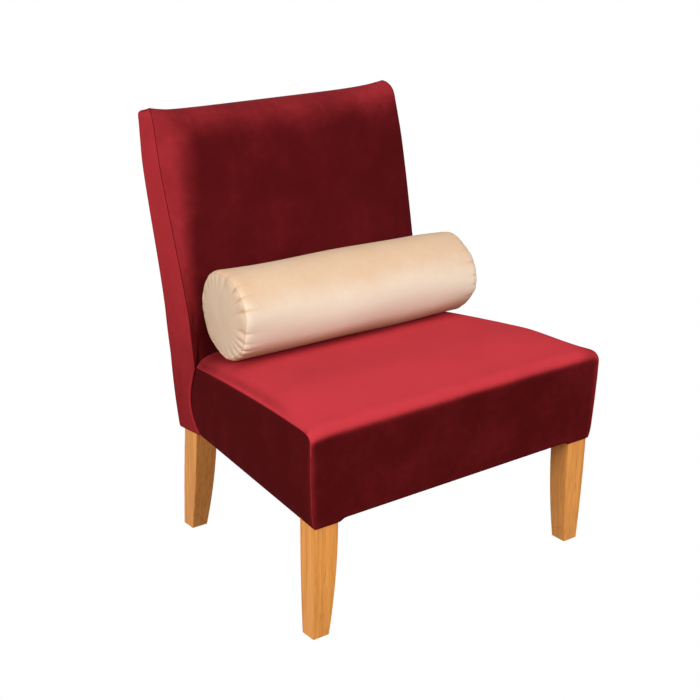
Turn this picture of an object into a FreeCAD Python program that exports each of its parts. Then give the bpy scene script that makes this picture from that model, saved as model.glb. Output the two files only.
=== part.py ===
import FreeCAD, Part
import math
import os
from FreeCAD import Vector

os.makedirs("parts", exist_ok=True)

# Armless upholstered chair. Millimetres, +Z up, front at -Y, left at -X.
# The origin is on the floor, in the middle of the width and the depth.

# Overall and seat
overall_depth = 616.0
seat_front_width = 656.0
seat_rear_width = 534.0
hem_front_width = 643.0
hem_rear_width = 550.0
seat_edge_height = 389.0
seat_rear_height = 353.0
seat_shoulder = 12.0
seat_shoulder_run = 75.0
seat_crown = 20.0
seat_front_crown = 7.0
seat_front_roll = 22.0
seat_front_lean = 5.0
seat_fall_power = 1.5
seat_stations = (0.3, 0.6, 0.85)
seat_side_swell = 2.0
hem_height = 215.0
hem_front_rise = 5.0
hem_run_on = 20.0

# Back
back_height = 815.0
back_top_width = 558.0
back_waist_width = 538.0
back_bend_height = 437.0
back_top_thickness = 53.0
back_bend_thickness = 93.0
back_rake = 60.0
back_sweep = 0.15
back_kick = 49.0
back_kick_curve = 0.60
back_front_crown = 14.0
back_seat_crown = 4.5
back_top_crown = 7.0
tuck_crown = 0.5
back_top_dip = 7.0
back_top_round = 11.0
tuck_setback = 160.0
tuck_bulge = 20.0
tuck_hem_forward = 36.0
tuck_lap = 10.0
outside_panel_margin = 16.0

# Legs
leg_foot = 33.0
leg_top = 46.0
leg_belly = 3.2
leg_side_belly = 1.6
leg_ease = 1.5
front_leg_lean = 8.0
rear_leg_kick = 16.0
leg_rebate = 4.0
glide_diameter = 20.0
glide_height = 3.0
glide_edge = 1.0

# Frame
rail_height = 60.0
rail_thickness = 25.0
rail_lift = 7.0
stile_waist_depth = 44.0
stile_top_depth = 30.0
stile_top_width = 28.0
stile_inset = 6.0
top_rail_height = 58.0
tack_rail_height = 42.0
tack_rail_thickness = 25.0
tack_rail_lift = 22.0
dowel_diameter = 9.0
dowel_length = 44.0
dowel_side_spacing = 36.0
dowel_end_spacing = 14.0
block_reach = 46.0
block_height = 40.0
block_drop = 4.0
screw_diameter = 5.0
screw_length = 36.0
screw_head = 9.0
screw_recess = 6.0
fastener_gap = 0.1

# Suspension and upholstery layers
webbing_width = 60.0
webbing_thickness = 1.6
long_belts = 5
long_belt_pitch = 88.0
cross_belts = 4
cross_belt_pitch = 90.0
cross_belt_first = 82.0
belt_land_spare = 8.0
back_belts = 4
back_belt_pitch = 82.0
back_belt_first = 40.0
cloth_thickness = 1.2
liner_thickness = 2.5
cover_thickness = 2.5
wadding_thickness = 6.0
layer_gap = 0.3
panel_gap = 0.4
dust_cover_thickness = 0.8
dust_cover_margin = 6.0

# Bolster
bolster_diameter = 164.0
bolster_length = 552.0
bolster_end_diameter = 158.0
bolster_end_bulge = 9.0
bolster_shoulder = 20.0
bolster_sink = 1.5
bolster_lean = 4.0
bolster_offset = 19.0
bolster_yaw = -1.0
bolster_cover = 2.0
zip_length = 420.0
zip_tape_width = 22.0
zip_tape_thickness = 0.8
zip_coil_width = 5.0
zip_coil_height = 1.8
zip_angle = 45.0
slider_length = 12.0
slider_width = 9.0
slider_height = 3.2
slider_bridge = 2.0
slider_bridge_length = 8.0
slider_eye_length = 4.0
slider_eye_height = 1.0
slider_bridge_width = 3.0
running_gap = 0.3

# How near an edge lies to the outline that picks it
edge_reach = 1.0

# Worked out from the driving dimensions
front_y = -overall_depth / 2
top_lean = back_rake * (1 + back_sweep) / (back_height - back_bend_height)
rear_y = overall_depth / 2 + back_top_round * top_lean
rail_bottom = hem_height + rail_lift
rail_top = rail_bottom + rail_height
cover_room = cover_thickness + layer_gap
frame_front_y = front_y + seat_front_lean + cover_room
tuck_y = rear_y - tuck_setback - cover_thickness * 2
leg_run = (frame_front_y + leg_top - front_y) / (tuck_y - front_y)
hem_at_leg = hem_front_width + (hem_rear_width - hem_front_width) * leg_run
seat_at_leg = seat_front_width + (seat_rear_width - seat_front_width) * leg_run
rail_share = (rail_top - hem_height) / (seat_edge_height - hem_height)
rail_level_at_leg = hem_at_leg + (seat_at_leg - hem_at_leg) * rail_share
leg_half_front = min(hem_at_leg, rail_level_at_leg) / 2 - cover_room
stile_half = min(seat_rear_width, back_waist_width, back_top_width) / 2 - cover_room
leg_half_rear = min(stile_half + leg_rebate, hem_rear_width / 2 - cover_room)
bend_rear_y = rear_y - back_rake
hem_rear_y = bend_rear_y - back_kick
leg_rear_y = hem_rear_y - stile_inset
belt_level = rail_top + webbing_thickness / 2
belt_wave = webbing_thickness / 2 + layer_gap / 2
cloth_bottom = belt_level + belt_wave + webbing_thickness / 2 + layer_gap
foam_bottom = cloth_bottom + cloth_thickness + layer_gap
screw_from_leg = dowel_length / 2 + screw_diameter
block_top = rail_top - block_drop
belt_land = rail_thickness + belt_land_spare
frame_top = back_height - back_top_dip - cover_thickness - wadding_thickness - 2 * layer_gap


def line(a, b):
    return Part.LineSegment(Vector(*a), Vector(*b)).toShape()


def arc(a, b, c):
    return Part.Arc(Vector(*a), Vector(*b), Vector(*c)).toShape()


def spline(points):
    curve = Part.BSplineCurve()
    curve.interpolate([Vector(*p) for p in points])
    return curve.toShape()


def prism(edges, direction):
    return Part.Face(Part.Wire(edges)).extrude(Vector(*direction))


def polygon_prism(points, direction):
    closed = [Vector(*p) for p in points + points[:1]]
    return Part.Face(Part.makePolygon(closed)).extrude(Vector(*direction))


def block(x0, x1, y0, y1, z0, z1):
    return Part.makeBox(x1 - x0, y1 - y0, z1 - z0, Vector(x0, y0, z0))


def rod(start, direction, length, diameter):
    return Part.makeCylinder(diameter / 2, length, Vector(*start), Vector(*direction))


def mirrored(shape):
    return shape.mirror(Vector(0, 0, 0), Vector(1, 0, 0))


def both_sides(shape):
    return [shape, mirrored(shape)]


def without(shape, tools):
    for tool in tools:
        shape = shape.cut(tool)
    return shape


def blended(a, b, u):
    return a + (b - a) * u


def curved(u, bend):
    return u * (1 - bend) + bend * u * u


# Outline of the back, seen from the side and from the front
def back_rear(z):
    if z >= back_bend_height:
        u = (z - back_bend_height) / (back_height - back_bend_height)
        return bend_rear_y + back_rake * curved(u, back_sweep)
    u = (back_bend_height - z) / (back_bend_height - hem_height)
    return bend_rear_y - back_kick * curved(u, back_kick_curve)


def back_front(z):
    u = max(z - back_bend_height, 0.0) / (back_height - back_bend_height)
    return back_rear(z) - blended(back_bend_thickness, back_top_thickness, u)


def back_half(z):
    if z <= seat_rear_height:
        u = (z - hem_height) / (seat_rear_height - hem_height)
        return blended(hem_rear_width, seat_rear_width, u) / 2
    if z <= back_bend_height:
        u = (z - seat_rear_height) / (back_bend_height - seat_rear_height)
        return blended(seat_rear_width, back_waist_width, u) / 2
    u = (z - back_bend_height) / (back_height - back_bend_height)
    return blended(back_waist_width, back_top_width, u) / 2


def back_section(z, front, crown, inset):
    half = back_half(z) - inset
    near = front + inset
    far = back_rear(z) - inset
    edges = [
        arc((-half, near, z), (0, near - crown, z), (half, near, z)),
        line((half, near, z), (half, far, z)),
        line((half, far, z), (-half, far, z)),
        line((-half, far, z), (-half, near, z)),
    ]
    return Part.Wire(edges)


def back_body(inset):
    """The whole back as a closed body, drawn in by inset and run on below the hem."""
    tuck_height = (hem_height + seat_rear_height) / 2
    upper = (back_height - back_bend_height) / 3
    over = back_height + back_top_dip
    stations = [
        (hem_height - hem_run_on, tuck_y - tuck_hem_forward, tuck_crown),
        (tuck_height, tuck_y + tuck_bulge, tuck_crown),
        (seat_rear_height, back_front(seat_rear_height), back_seat_crown),
        (back_bend_height, back_front(back_bend_height), back_front_crown),
        (back_bend_height + upper, back_front(back_bend_height + upper), back_front_crown),
        (back_bend_height + 2 * upper, back_front(back_bend_height + 2 * upper), back_front_crown),
        (over, back_front(over), back_top_crown),
    ]
    wires = [back_section(z, front, crown, inset) for z, front, crown in stations]
    body = Part.makeLoft(wires, True, False)
    side = back_top_width
    rise = back_top_dip * (2 * side / back_top_width) ** 2
    low = back_height - back_top_dip - inset
    high = back_height * 2
    dip = [
        arc((-side, front_y, low + rise), (0, front_y, low), (side, front_y, low + rise)),
        line((side, front_y, low + rise), (side, front_y, high)),
        line((side, front_y, high), (-side, front_y, high)),
        line((-side, front_y, high), (-side, front_y, low + rise)),
    ]
    body = body.cut(prism(dip, (0, overall_depth * 2, 0)))
    top_edges = [e for e in body.Edges if e.BoundBox.ZMin > low - edge_reach]
    return body.makeFillet(back_top_round, top_edges)


# Outline of the seat
def seat_run(y):
    return (y - front_y) / (tuck_y - front_y)


def seat_side_height(y):
    return blended(seat_edge_height, seat_rear_height, max(seat_run(y), 0.0) ** seat_fall_power)


def shoulder_middle(start, toward, end):
    """Middle point of the arc that leaves start along toward and ends at end."""
    s = Vector(*start)
    chord = Vector(*end) - s
    along = Vector(*toward).normalize()
    across = chord - along * chord.dot(along)
    radius = chord.dot(chord) / (2 * across.Length)
    centre = s + across.normalize() * radius
    middle = centre + (s + chord * 0.5 - centre).normalize() * radius
    return (middle.x, middle.y, middle.z)


def seat_section(y, inset, lean, crown):
    run = seat_run(y)
    top_half = blended(seat_front_width, seat_rear_width, run) / 2 - inset
    hem_half = blended(hem_front_width, hem_rear_width, run) / 2 - inset
    top = seat_side_height(y) - inset
    low = hem_height - hem_run_on
    mid = (low + top) / 2
    mid_half = (top_half + hem_half) / 2 + seat_side_swell
    inner = top_half - seat_shoulder_run
    shoulder_rise = seat_shoulder * crown / seat_crown
    slope = 2 * (crown - shoulder_rise) / inner

    def at(x, z):
        return (x, y + lean * (top - z) / (top - hem_height), z)

    def flipped(point):
        return (-point[0], point[1], point[2])

    corner = at(top_half, top)
    knee = at(inner, top + shoulder_rise)
    fall = at(inner + 1, top + shoulder_rise - slope)
    shoulder = shoulder_middle(knee, [b - a for a, b in zip(knee, fall)], corner)
    edges = [
        arc(at(hem_half, low), at(mid_half, mid), corner),
        arc(corner, shoulder, knee),
        arc(knee, at(0, top + crown), flipped(knee)),
        arc(flipped(knee), flipped(shoulder), flipped(corner)),
        arc(flipped(corner), at(-mid_half, mid), at(-hem_half, low)),
        line(at(-hem_half, low), at(hem_half, low)),
    ]
    return Part.Wire(edges)


def seat_body(inset):
    """The whole seat as a closed body, drawn in by inset, run on below the hem and into the back."""
    wires = [seat_section(front_y + inset, inset, seat_front_lean, seat_front_crown)]
    for share in seat_stations:
        wires.append(seat_section(blended(front_y, tuck_y, share), inset, 0.0, seat_crown))
    wires.append(seat_section(tuck_y + tuck_bulge + hem_run_on, inset, 0.0, seat_crown))
    body = Part.makeLoft(wires, True, False)
    front_edges = []
    for edge in body.Edges:
        box = edge.BoundBox
        if box.YMax < front_y + inset + edge_reach and box.ZMin > seat_edge_height - inset - edge_reach:
            front_edges.append(edge)
    return body.makeFillet(seat_front_roll, front_edges)


# Outline of the rear stiles above the seat
def stile_rear(z):
    return back_rear(z) - stile_inset


def stile_front(z):
    u = (z - rail_bottom) / (frame_top - rail_bottom)
    return stile_rear(z) - blended(stile_waist_depth, stile_top_depth, u)


def side_rail_outer(y):
    start = frame_front_y + leg_top
    u = (y - start) / (leg_rear_y - leg_top - start)
    return blended(leg_half_front, stile_half, u)


def side_prism(near, far, half):
    """Solid between two side outlines, each a list of (y, z), across the width."""
    edges = [
        spline([(-half, y, z) for y, z in near]),
        line((-half, *near[-1]), (-half, *far[-1])),
        spline([(-half, y, z) for y, z in reversed(far)]),
        line((-half, *far[0]), (-half, *near[0])),
    ]
    return prism(edges, (2 * half, 0, 0))


def heights(low, high, count=9):
    return [blended(low, high, i / (count - 1)) for i in range(count)]


def save(name, solids):
    shape = solids[0] if len(solids) == 1 else Part.makeCompound(solids)
    shape.exportStep("parts/" + name + ".step")


# Legs and rear stiles: two sawn outlines, from the front and from the side, worked out of one blank
def leg_front_outline(outer, upper):
    """Front view: straight outside, inside face swelling to the foot; upper closes the top."""
    foot = outer - leg_foot
    inner = outer - leg_top
    belly = ((foot + inner) / 2 - leg_belly, 0, (glide_height + hem_height) / 2)
    return [
        line((outer, 0, glide_height), (outer, 0, upper[0][1])),
        *[line((a[0], 0, a[1]), (b[0], 0, b[1])) for a, b in zip(upper, upper[1:])],
        line((upper[-1][0], 0, upper[-1][1]), (inner, 0, hem_height)),
        arc((inner, 0, hem_height), belly, (foot, 0, glide_height)),
        line((foot, 0, glide_height), (outer, 0, glide_height)),
    ]


def front_leg():
    upper = [(leg_half_front, rail_top), (leg_half_front - leg_top, rail_top)]
    face = prism(leg_front_outline(leg_half_front, upper), (0, overall_depth, 0))
    near = frame_front_y
    far = frame_front_y + leg_top
    toe = near + front_leg_lean
    heel = toe + leg_foot
    middle = (glide_height + hem_height) / 2
    edges = [
        line((0, near, rail_top), (0, near, hem_height)),
        arc((0, near, hem_height), (0, (near + toe) / 2 - leg_side_belly, middle), (0, toe, glide_height)),
        line((0, toe, glide_height), (0, heel, glide_height)),
        arc((0, heel, glide_height), (0, (heel + far) / 2 + leg_side_belly, middle), (0, far, hem_height)),
        line((0, far, hem_height), (0, far, rail_top)),
        line((0, far, rail_top), (0, near, rail_top)),
    ]
    side = prism(edges, (overall_depth, 0, 0))
    return face.translated(Vector(0, front_y, 0)).common(side)


def rear_stile():
    rebate = rail_bottom
    upper = [
        (leg_half_rear, rebate),
        (stile_half, rebate),
        (stile_half, frame_top),
        (stile_half - stile_top_width, frame_top),
        (leg_half_rear - leg_top, rail_top),
    ]
    face = prism(leg_front_outline(leg_half_rear, upper), (0, overall_depth, 0))
    heel = leg_rear_y + rear_leg_kick
    toe = heel - leg_foot
    hem_near = stile_front(hem_height)
    middle = (glide_height + hem_height) / 2
    rear_line = [(0, stile_rear(z), z) for z in heights(hem_height, frame_top)]
    front_line = [(0, stile_front(z), z) for z in heights(hem_height, frame_top)]
    edges = [
        line((0, toe, glide_height), (0, heel, glide_height)),
        arc((0, heel, glide_height), (0, (heel + leg_rear_y) / 2 + leg_side_belly, middle), rear_line[0]),
        spline(rear_line),
        line(rear_line[-1], front_line[-1]),
        spline(list(reversed(front_line))),
        arc((0, hem_near, hem_height), (0, (hem_near + toe) / 2 - leg_belly, middle), (0, toe, glide_height)),
    ]
    side = prism(edges, (overall_depth, 0, 0))
    return face.common(side)


def eased(post):
    """Rounds the long edges of the part of a leg that shows below the hem."""
    foot = post.common(below(hem_height))
    edges = [e for e in foot.Edges if e.BoundBox.ZLength > leg_top]
    return foot.makeFillet(leg_ease, edges).fuse(post.cut(below(hem_height)))


def glide(x, y):
    disc = rod((x, y, 0), (0, 0, 1), glide_height, glide_diameter)
    rim = [e for e in disc.Edges if e.BoundBox.ZMax < glide_edge]
    return disc.makeChamfer(glide_edge, rim)


# Seat frame
def side_rail(stile):
    start = frame_front_y + leg_top
    end = leg_rear_y - leg_belly
    outline = [
        (side_rail_outer(start), start, rail_bottom),
        (side_rail_outer(end), end, rail_bottom),
        (side_rail_outer(end) - rail_thickness, end, rail_bottom),
        (side_rail_outer(start) - rail_thickness, start, rail_bottom),
    ]
    return polygon_prism(outline, (0, 0, rail_height)).cut(stile)


def corner_block(rail_face, leg_inner, leg_edge, away):
    """Block in a frame corner, notched round the leg; away is the way from the rail into the seat."""
    far = leg_edge + away * block_reach
    z = block_top - block_height
    return [
        (leg_inner - block_reach, rail_face, z),
        (leg_inner, rail_face, z),
        (leg_inner, leg_edge, z),
        (side_rail_outer(leg_edge) - rail_thickness, leg_edge, z),
        (side_rail_outer(far) - rail_thickness, far, z),
    ]


def screw(seat, direction, oversize=0.0):
    """Countersunk screw whose head lies at seat."""
    d = Vector(*direction)
    size = screw_diameter / 2 + oversize
    shank = Part.makeCylinder(size, screw_length + oversize, Vector(*seat), d)
    head = Part.makeCone(screw_head / 2 + oversize, size, screw_diameter / 2, Vector(*seat), d)
    return shank.fuse(head)


def block_screws(outline, away, oversize=0.0):
    """One screw into each rail, sunk in from the block's long face."""
    start = outline[0]
    end = outline[-1]
    z = block_top - block_height / 2
    x = outline[1][0] - screw_from_leg
    y = outline[2][1] + away * screw_from_leg
    long_y = blended(start[1], end[1], (x - start[0]) / (end[0] - start[0]))
    long_x = blended(start[0], end[0], (y - start[1]) / (end[1] - start[1]))
    places = [
        ((x, long_y - away * screw_recess, z - screw_head), (0, -away, 0)),
        ((long_x + screw_recess, y, z + screw_head), (1, 0, 0)),
    ]
    tools = []
    for seat, way in places:
        tools.append(screw(seat, way, oversize))
        if oversize:
            back = tuple(-w for w in way)
            tools.append(rod(seat, back, block_reach, screw_head + 2 * oversize))
    return tools


def dowel_pair(centre, direction, spread, oversize=0.0):
    """Two dowels across a joint face, spread along Z about centre."""
    pair = []
    for side in (-0.5, 0.5):
        middle = Vector(*centre) + Vector(0, 0, spread * side)
        start = middle - Vector(*direction) * (dowel_length / 2 + oversize)
        size = dowel_diameter / 2 + oversize
        pair.append(Part.makeCylinder(size, dowel_length + 2 * oversize, start, Vector(*direction)))
    return pair


# Back frame
def back_rail(low, high, depth):
    """Rail between the stiles; its front follows theirs."""
    half = stile_half - stile_top_width / 2
    outline = [
        (-half, stile_front(low), low),
        (-half, stile_front(low) + depth, low),
        (-half, stile_front(high) + depth, high),
        (-half, stile_front(high), high),
    ]
    return polygon_prism(outline, (2 * half, 0, 0))


# Elastic webbing
def woven_belt(start, end, crossings, first_up):
    """Side outline of one belt that passes over and under the belts that it crosses."""
    reach = webbing_width / 2 + layer_gap
    middle = [(start, belt_level), (start + belt_land, belt_level)]
    for i, place in enumerate(crossings):
        level = belt_level + (belt_wave if (i % 2 == 0) == first_up else -belt_wave)
        middle.append((place - reach, level))
        middle.append((place + reach, level))
    middle += [(end - belt_land, belt_level), (end, belt_level)]
    upper = [(a, z + webbing_thickness / 2) for a, z in middle]
    lower = [(a, z - webbing_thickness / 2) for a, z in reversed(middle)]
    return upper + lower


def seat_belts():
    xs = [(i - (long_belts - 1) / 2) * long_belt_pitch for i in range(long_belts)]
    ys = [frame_front_y + cross_belt_first + i * cross_belt_pitch for i in range(cross_belts)]
    belt_front = frame_front_y + wadding_thickness
    long_set = []
    for i, x in enumerate(xs):
        outline = woven_belt(belt_front, rear_rail_front + rail_thickness, ys, i % 2 == 0)
        points = [(x - webbing_width / 2, y, z) for y, z in outline]
        long_set.append(polygon_prism(points, (webbing_width, 0, 0)))
    cross_set = []
    for j, y in enumerate(ys):
        half = side_rail_outer(y + webbing_width / 2) - wadding_thickness
        outline = woven_belt(-half, half, xs, j % 2 == 1)
        points = [(x, y - webbing_width / 2, z) for x, z in outline]
        cross_set.append(polygon_prism(points, (0, webbing_width, 0)))
    return long_set, cross_set


def back_belt(z):
    """Flat belt across the fronts of the stiles at one height."""
    half_height = webbing_width / 2
    low = (stile_front(z - half_height), z - half_height)
    high = (stile_front(z + half_height), z + half_height)
    off = layer_gap
    half = stile_half - wadding_thickness
    points = [
        (-half, low[0] - off, low[1]),
        (-half, high[0] - off, high[1]),
        (-half, high[0] - off - webbing_thickness, high[1]),
        (-half, low[0] - off - webbing_thickness, low[1]),
    ]
    return polygon_prism(points, (2 * half, 0, 0))


# Sheets
def platform_cloth():
    near = frame_front_y + rail_thickness / 2
    far = stile_front(rail_top) - 2 * panel_gap
    outline = [
        (-side_rail_outer(near) + rail_thickness / 2, near, cloth_bottom),
        (side_rail_outer(near) - rail_thickness / 2, near, cloth_bottom),
        (side_rail_outer(far) - rail_thickness / 2, far, cloth_bottom),
        (-side_rail_outer(far) + rail_thickness / 2, far, cloth_bottom),
    ]
    return polygon_prism(outline, (0, 0, cloth_thickness))


def dust_cover():
    z = rail_bottom - dust_cover_thickness
    near = frame_front_y + dust_cover_margin
    leg_inner = leg_half_front - leg_top - panel_gap
    leg_back = frame_front_y + leg_top + panel_gap
    stile_near = stile_front(hem_height) - leg_belly
    stile_inner = leg_half_rear - leg_top - panel_gap
    far = rear_rail_front + rail_thickness - dust_cover_margin
    right = [
        (leg_inner, near, z),
        (leg_inner, leg_back, z),
        (side_rail_outer(leg_back) - dust_cover_margin, leg_back, z),
        (side_rail_outer(stile_near) - dust_cover_margin, stile_near, z),
        (stile_inner, stile_near, z),
        (stile_inner, far, z),
    ]
    left = [(-x, y, depth) for x, y, depth in reversed(right)]
    return polygon_prism(right + left, (0, 0, dust_cover_thickness))


# Upholstery layers cut from the seat and back bodies
def below(z):
    return block(-overall_depth, overall_depth, -overall_depth, overall_depth, -hem_height, z)


def front_hem_cut():
    """The front hem rises between the legs, with a small curve at each leg."""
    half = leg_half_front - leg_top
    low = hem_height - hem_run_on
    high = hem_height + hem_front_rise
    r = hem_front_rise
    y = front_y - hem_run_on
    bow = r * (1 - math.sqrt(0.5))
    edges = [
        line((-half, y, low), (-half, y, high - r)),
        arc((-half, y, high - r), (-half + bow, y, high - bow), (-half + r, y, high)),
        line((-half + r, y, high), (half - r, y, high)),
        arc((half - r, y, high), (half - bow, y, high - bow), (half, y, high - r)),
        line((half, y, high - r), (half, y, low)),
        line((half, y, low), (-half, y, low)),
    ]
    return prism(edges, (0, 2 * hem_run_on, 0))


def tuck_opening():
    """Where seat and back meet, the back cover has no front wall."""
    wires = []
    for z in (hem_height - hem_run_on, seat_rear_height - tuck_lap):
        half = back_half(z) - 2 * cover_thickness
        near = tuck_y - tuck_hem_forward - hem_run_on
        far = tuck_y + 2 * tuck_bulge - tuck_lap
        corners = [(-half, near, z), (half, near, z), (half, far, z), (-half, far, z), (-half, near, z)]
        wires.append(Part.makePolygon([Vector(*c) for c in corners]))
    return Part.makeLoft(wires, True, True)


def behind(offset, low, high, half):
    """Everything further back than the back's rear outline moved forward by offset."""
    near = [(back_rear(z) - offset, z) for z in heights(low, high)]
    far = [(overall_depth, z) for z in heights(low, high)]
    return side_prism(near, far, half)


def behind_stile_fronts(off, low, high):
    near = [(stile_front(z) - off, z) for z in heights(low, high)]
    far = [(overall_depth, z) for z in heights(low, high)]
    return side_prism(near, far, overall_depth / 2)


# Bolster, made along X about its own axis and then laid in the corner of seat and back
def bolster_body(inset):
    half = bolster_length / 2 - inset
    end_radius = bolster_end_diameter / 2 - inset
    radius = bolster_diameter / 2 - inset
    seam = half - bolster_end_bulge
    full = seam - bolster_shoulder
    ball = (end_radius ** 2 + bolster_end_bulge ** 2) / (2 * bolster_end_bulge)
    turn = math.asin(end_radius / ball) / 2
    cap = half - ball * (1 - math.cos(turn))
    swell = shoulder_middle((full, 0, radius), (1, 0, 0), (seam, 0, end_radius))
    edges = [
        arc((-half, 0, 0), (-cap, 0, ball * math.sin(turn)), (-seam, 0, end_radius)),
        arc((-seam, 0, end_radius), (-swell[0], 0, swell[2]), (-full, 0, radius)),
        line((-full, 0, radius), (full, 0, radius)),
        arc((full, 0, radius), swell, (seam, 0, end_radius)),
        arc((seam, 0, end_radius), (cap, 0, ball * math.sin(turn)), (half, 0, 0)),
        line((half, 0, 0), (-half, 0, 0)),
    ]
    return Part.Face(Part.Wire(edges)).revolve(Vector(0, 0, 0), Vector(1, 0, 0), 360)


def bolster_centre():
    """Rests a little sunk into the seat and leans a little into the back."""
    radius = bolster_diameter / 2
    z = seat_rear_height + seat_crown + radius
    y = 0.0
    for _ in range(8):
        y = back_front(z) - back_front_crown - radius + bolster_lean
        z = seat_side_height(y) + seat_crown + radius - bolster_sink
    return Vector(bolster_offset, y, z)


def laid(shape):
    turned = shape.rotated(Vector(0, 0, 0), Vector(0, 0, 1), bolster_yaw)
    return turned.translated(bolster_centre())


def zip_band(low, high, width, length):
    """Strip on the bolster's tube, between two radii, in its lower rear quarter."""
    half_angle = math.degrees(width / 2 / low)
    corners = [(-length / 2, low, 0), (length / 2, low, 0), (length / 2, high, 0), (-length / 2, high, 0)]
    face = Part.Face(Part.makePolygon([Vector(*c) for c in corners + corners[:1]]))
    face.rotate(Vector(0, 0, 0), Vector(1, 0, 0), -zip_angle - half_angle)
    return face.revolve(Vector(0, 0, 0), Vector(1, 0, 0), 2 * half_angle)


def zip_slider():
    tape = bolster_diameter / 2 + layer_gap + zip_tape_thickness
    low = tape + running_gap
    place = zip_length / 2 - slider_length
    body = block(place - slider_length / 2, place + slider_length / 2, low, low + slider_height,
                 -slider_width / 2, slider_width / 2)
    channel = zip_coil_width / 2 + running_gap
    body = body.cut(block(-zip_length, zip_length, tape, tape + zip_coil_height + running_gap,
                          -channel, channel))
    top = low + slider_height
    reach = slider_bridge_length / 2
    bridge = block(place - reach, place + reach, top, top + slider_bridge,
                   -slider_bridge_width / 2, slider_bridge_width / 2)
    reach = slider_eye_length / 2
    eye = block(place - reach, place + reach, top, top + slider_eye_height, -slider_width, slider_width)
    body = body.fuse(bridge.cut(eye)).removeSplitter()
    body.rotate(Vector(0, 0, 0), Vector(1, 0, 0), -zip_angle)
    return body


# Legs, stiles and frame
left_right = ("right", "left")
leg = eased(front_leg())
stile = eased(rear_stile())
rear_rail_front = stile_front(rail_bottom) + (stile_waist_depth - rail_thickness) / 2
front_rail = block(-leg_half_front + leg_top, leg_half_front - leg_top, frame_front_y,
                   frame_front_y + rail_thickness, rail_bottom, rail_top)
rear_rail = block(-leg_half_rear + leg_top, leg_half_rear - leg_top, rear_rail_front,
                  rear_rail_front + rail_thickness, rail_bottom, rail_top)
rail = side_rail(stile)
both_stiles = both_sides(stile)
top_rail_low = frame_top - top_rail_height
top_rail = without(back_rail(top_rail_low, frame_top, stile_top_depth), both_stiles)
tack_low = seat_rear_height + tack_rail_lift
tack_high = tack_low + tack_rail_height
tack_rail = without(back_rail(tack_low, tack_high, tack_rail_thickness), both_stiles)

# Dowels, right side; each joint is drilled for its own pair
rail_middle = (rail_bottom + rail_top) / 2
side_joint_y = frame_front_y + leg_top
stile_joint_y = stile_front(rail_middle)
stile_inner_top = stile_half - stile_top_width
joints = [
    (leg_half_front - leg_top, frame_front_y + rail_thickness / 2, (1, 0, 0), dowel_end_spacing),
    (side_rail_outer(side_joint_y) - rail_thickness / 2, side_joint_y, (0, 1, 0), dowel_side_spacing),
    (side_rail_outer(stile_joint_y) - rail_thickness / 2, stile_joint_y, (0, 1, 0), dowel_side_spacing),
    (leg_half_rear - leg_top, rear_rail_front + rail_thickness / 2, (1, 0, 0), dowel_end_spacing),
]
dowels = []
holes = []
for x, y, way, spacing in joints:
    dowels += dowel_pair((x, y, rail_middle), way, spacing)
    holes += dowel_pair((x, y, rail_middle), way, spacing, fastener_gap)

dowel_sets = [dowels]
back_rails = ((top_rail_low, frame_top, stile_top_depth), (tack_low, tack_high, tack_rail_thickness))
for low, high, depth in back_rails:
    z = (low + high) / 2
    u = (z - rail_top) / (frame_top - rail_top)
    centre = (blended(leg_half_rear - leg_top, stile_inner_top, u), stile_front(z) + depth / 2, z)
    dowel_sets.append(dowel_pair(centre, (1, 0, 0), (high - low) / 2))
    holes += dowel_pair(centre, (1, 0, 0), (high - low) / 2, fastener_gap)

# Corner blocks and their screws, right side
leg_inner = leg_half_front - leg_top - panel_gap
stile_inner = leg_half_rear - leg_top - panel_gap
front_block = corner_block(frame_front_y + rail_thickness, leg_inner, side_joint_y + panel_gap, 1)
rear_block = corner_block(rear_rail_front, stile_inner, stile_front(rail_bottom) - panel_gap, -1)
blocks = []
screws = []
for outline, away in ((front_block, 1), (rear_block, -1)):
    drilled = block_screws(outline, away, fastener_gap)
    blocks.append(without(polygon_prism(outline, (0, 0, block_height)), drilled))
    screws += block_screws(outline, away)
    holes += drilled

both_holes = [h for hole in holes for h in both_sides(hole)]
for name, piece in (("front_leg", leg), ("rear_stile", stile), ("side_rail", rail)):
    drilled = without(piece, holes)
    for side, shape in zip(left_right, both_sides(drilled)):
        save(name + "_" + side, [shape])
save("front_rail", [without(front_rail, both_holes)])
save("rear_rail", [without(rear_rail, both_holes)])
save("back_top_rail", [without(top_rail, both_holes)])
save("back_tack_rail", [without(tack_rail, both_holes)])
save("corner_blocks", [s for b in blocks for s in both_sides(b)])
save("corner_block_screws", [s for b in screws for s in both_sides(b)])
save("seat_frame_dowels", [s for b in dowels for s in both_sides(b)])
save("back_frame_dowels", [s for pair in dowel_sets[1:] for b in pair for s in both_sides(b)])
front_foot = (leg_half_front - leg_foot / 2, frame_front_y + front_leg_lean + leg_foot / 2)
rear_foot = (leg_half_rear - leg_foot / 2, leg_rear_y + rear_leg_kick - leg_foot / 2)
save("leg_glides", [s for foot in (front_foot, rear_foot) for s in both_sides(glide(*foot))])

# Suspension
long_set, cross_set = seat_belts()
save("seat_belts_long", long_set)
save("seat_belts_cross", cross_set)
belt_heights = [tack_high + back_belt_first + i * back_belt_pitch for i in range(back_belts)]
save("back_belts", [without(back_belt(z), both_stiles) for z in belt_heights])
save("platform_cloth", [platform_cloth()])
save("dust_cover", [dust_cover()])

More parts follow.
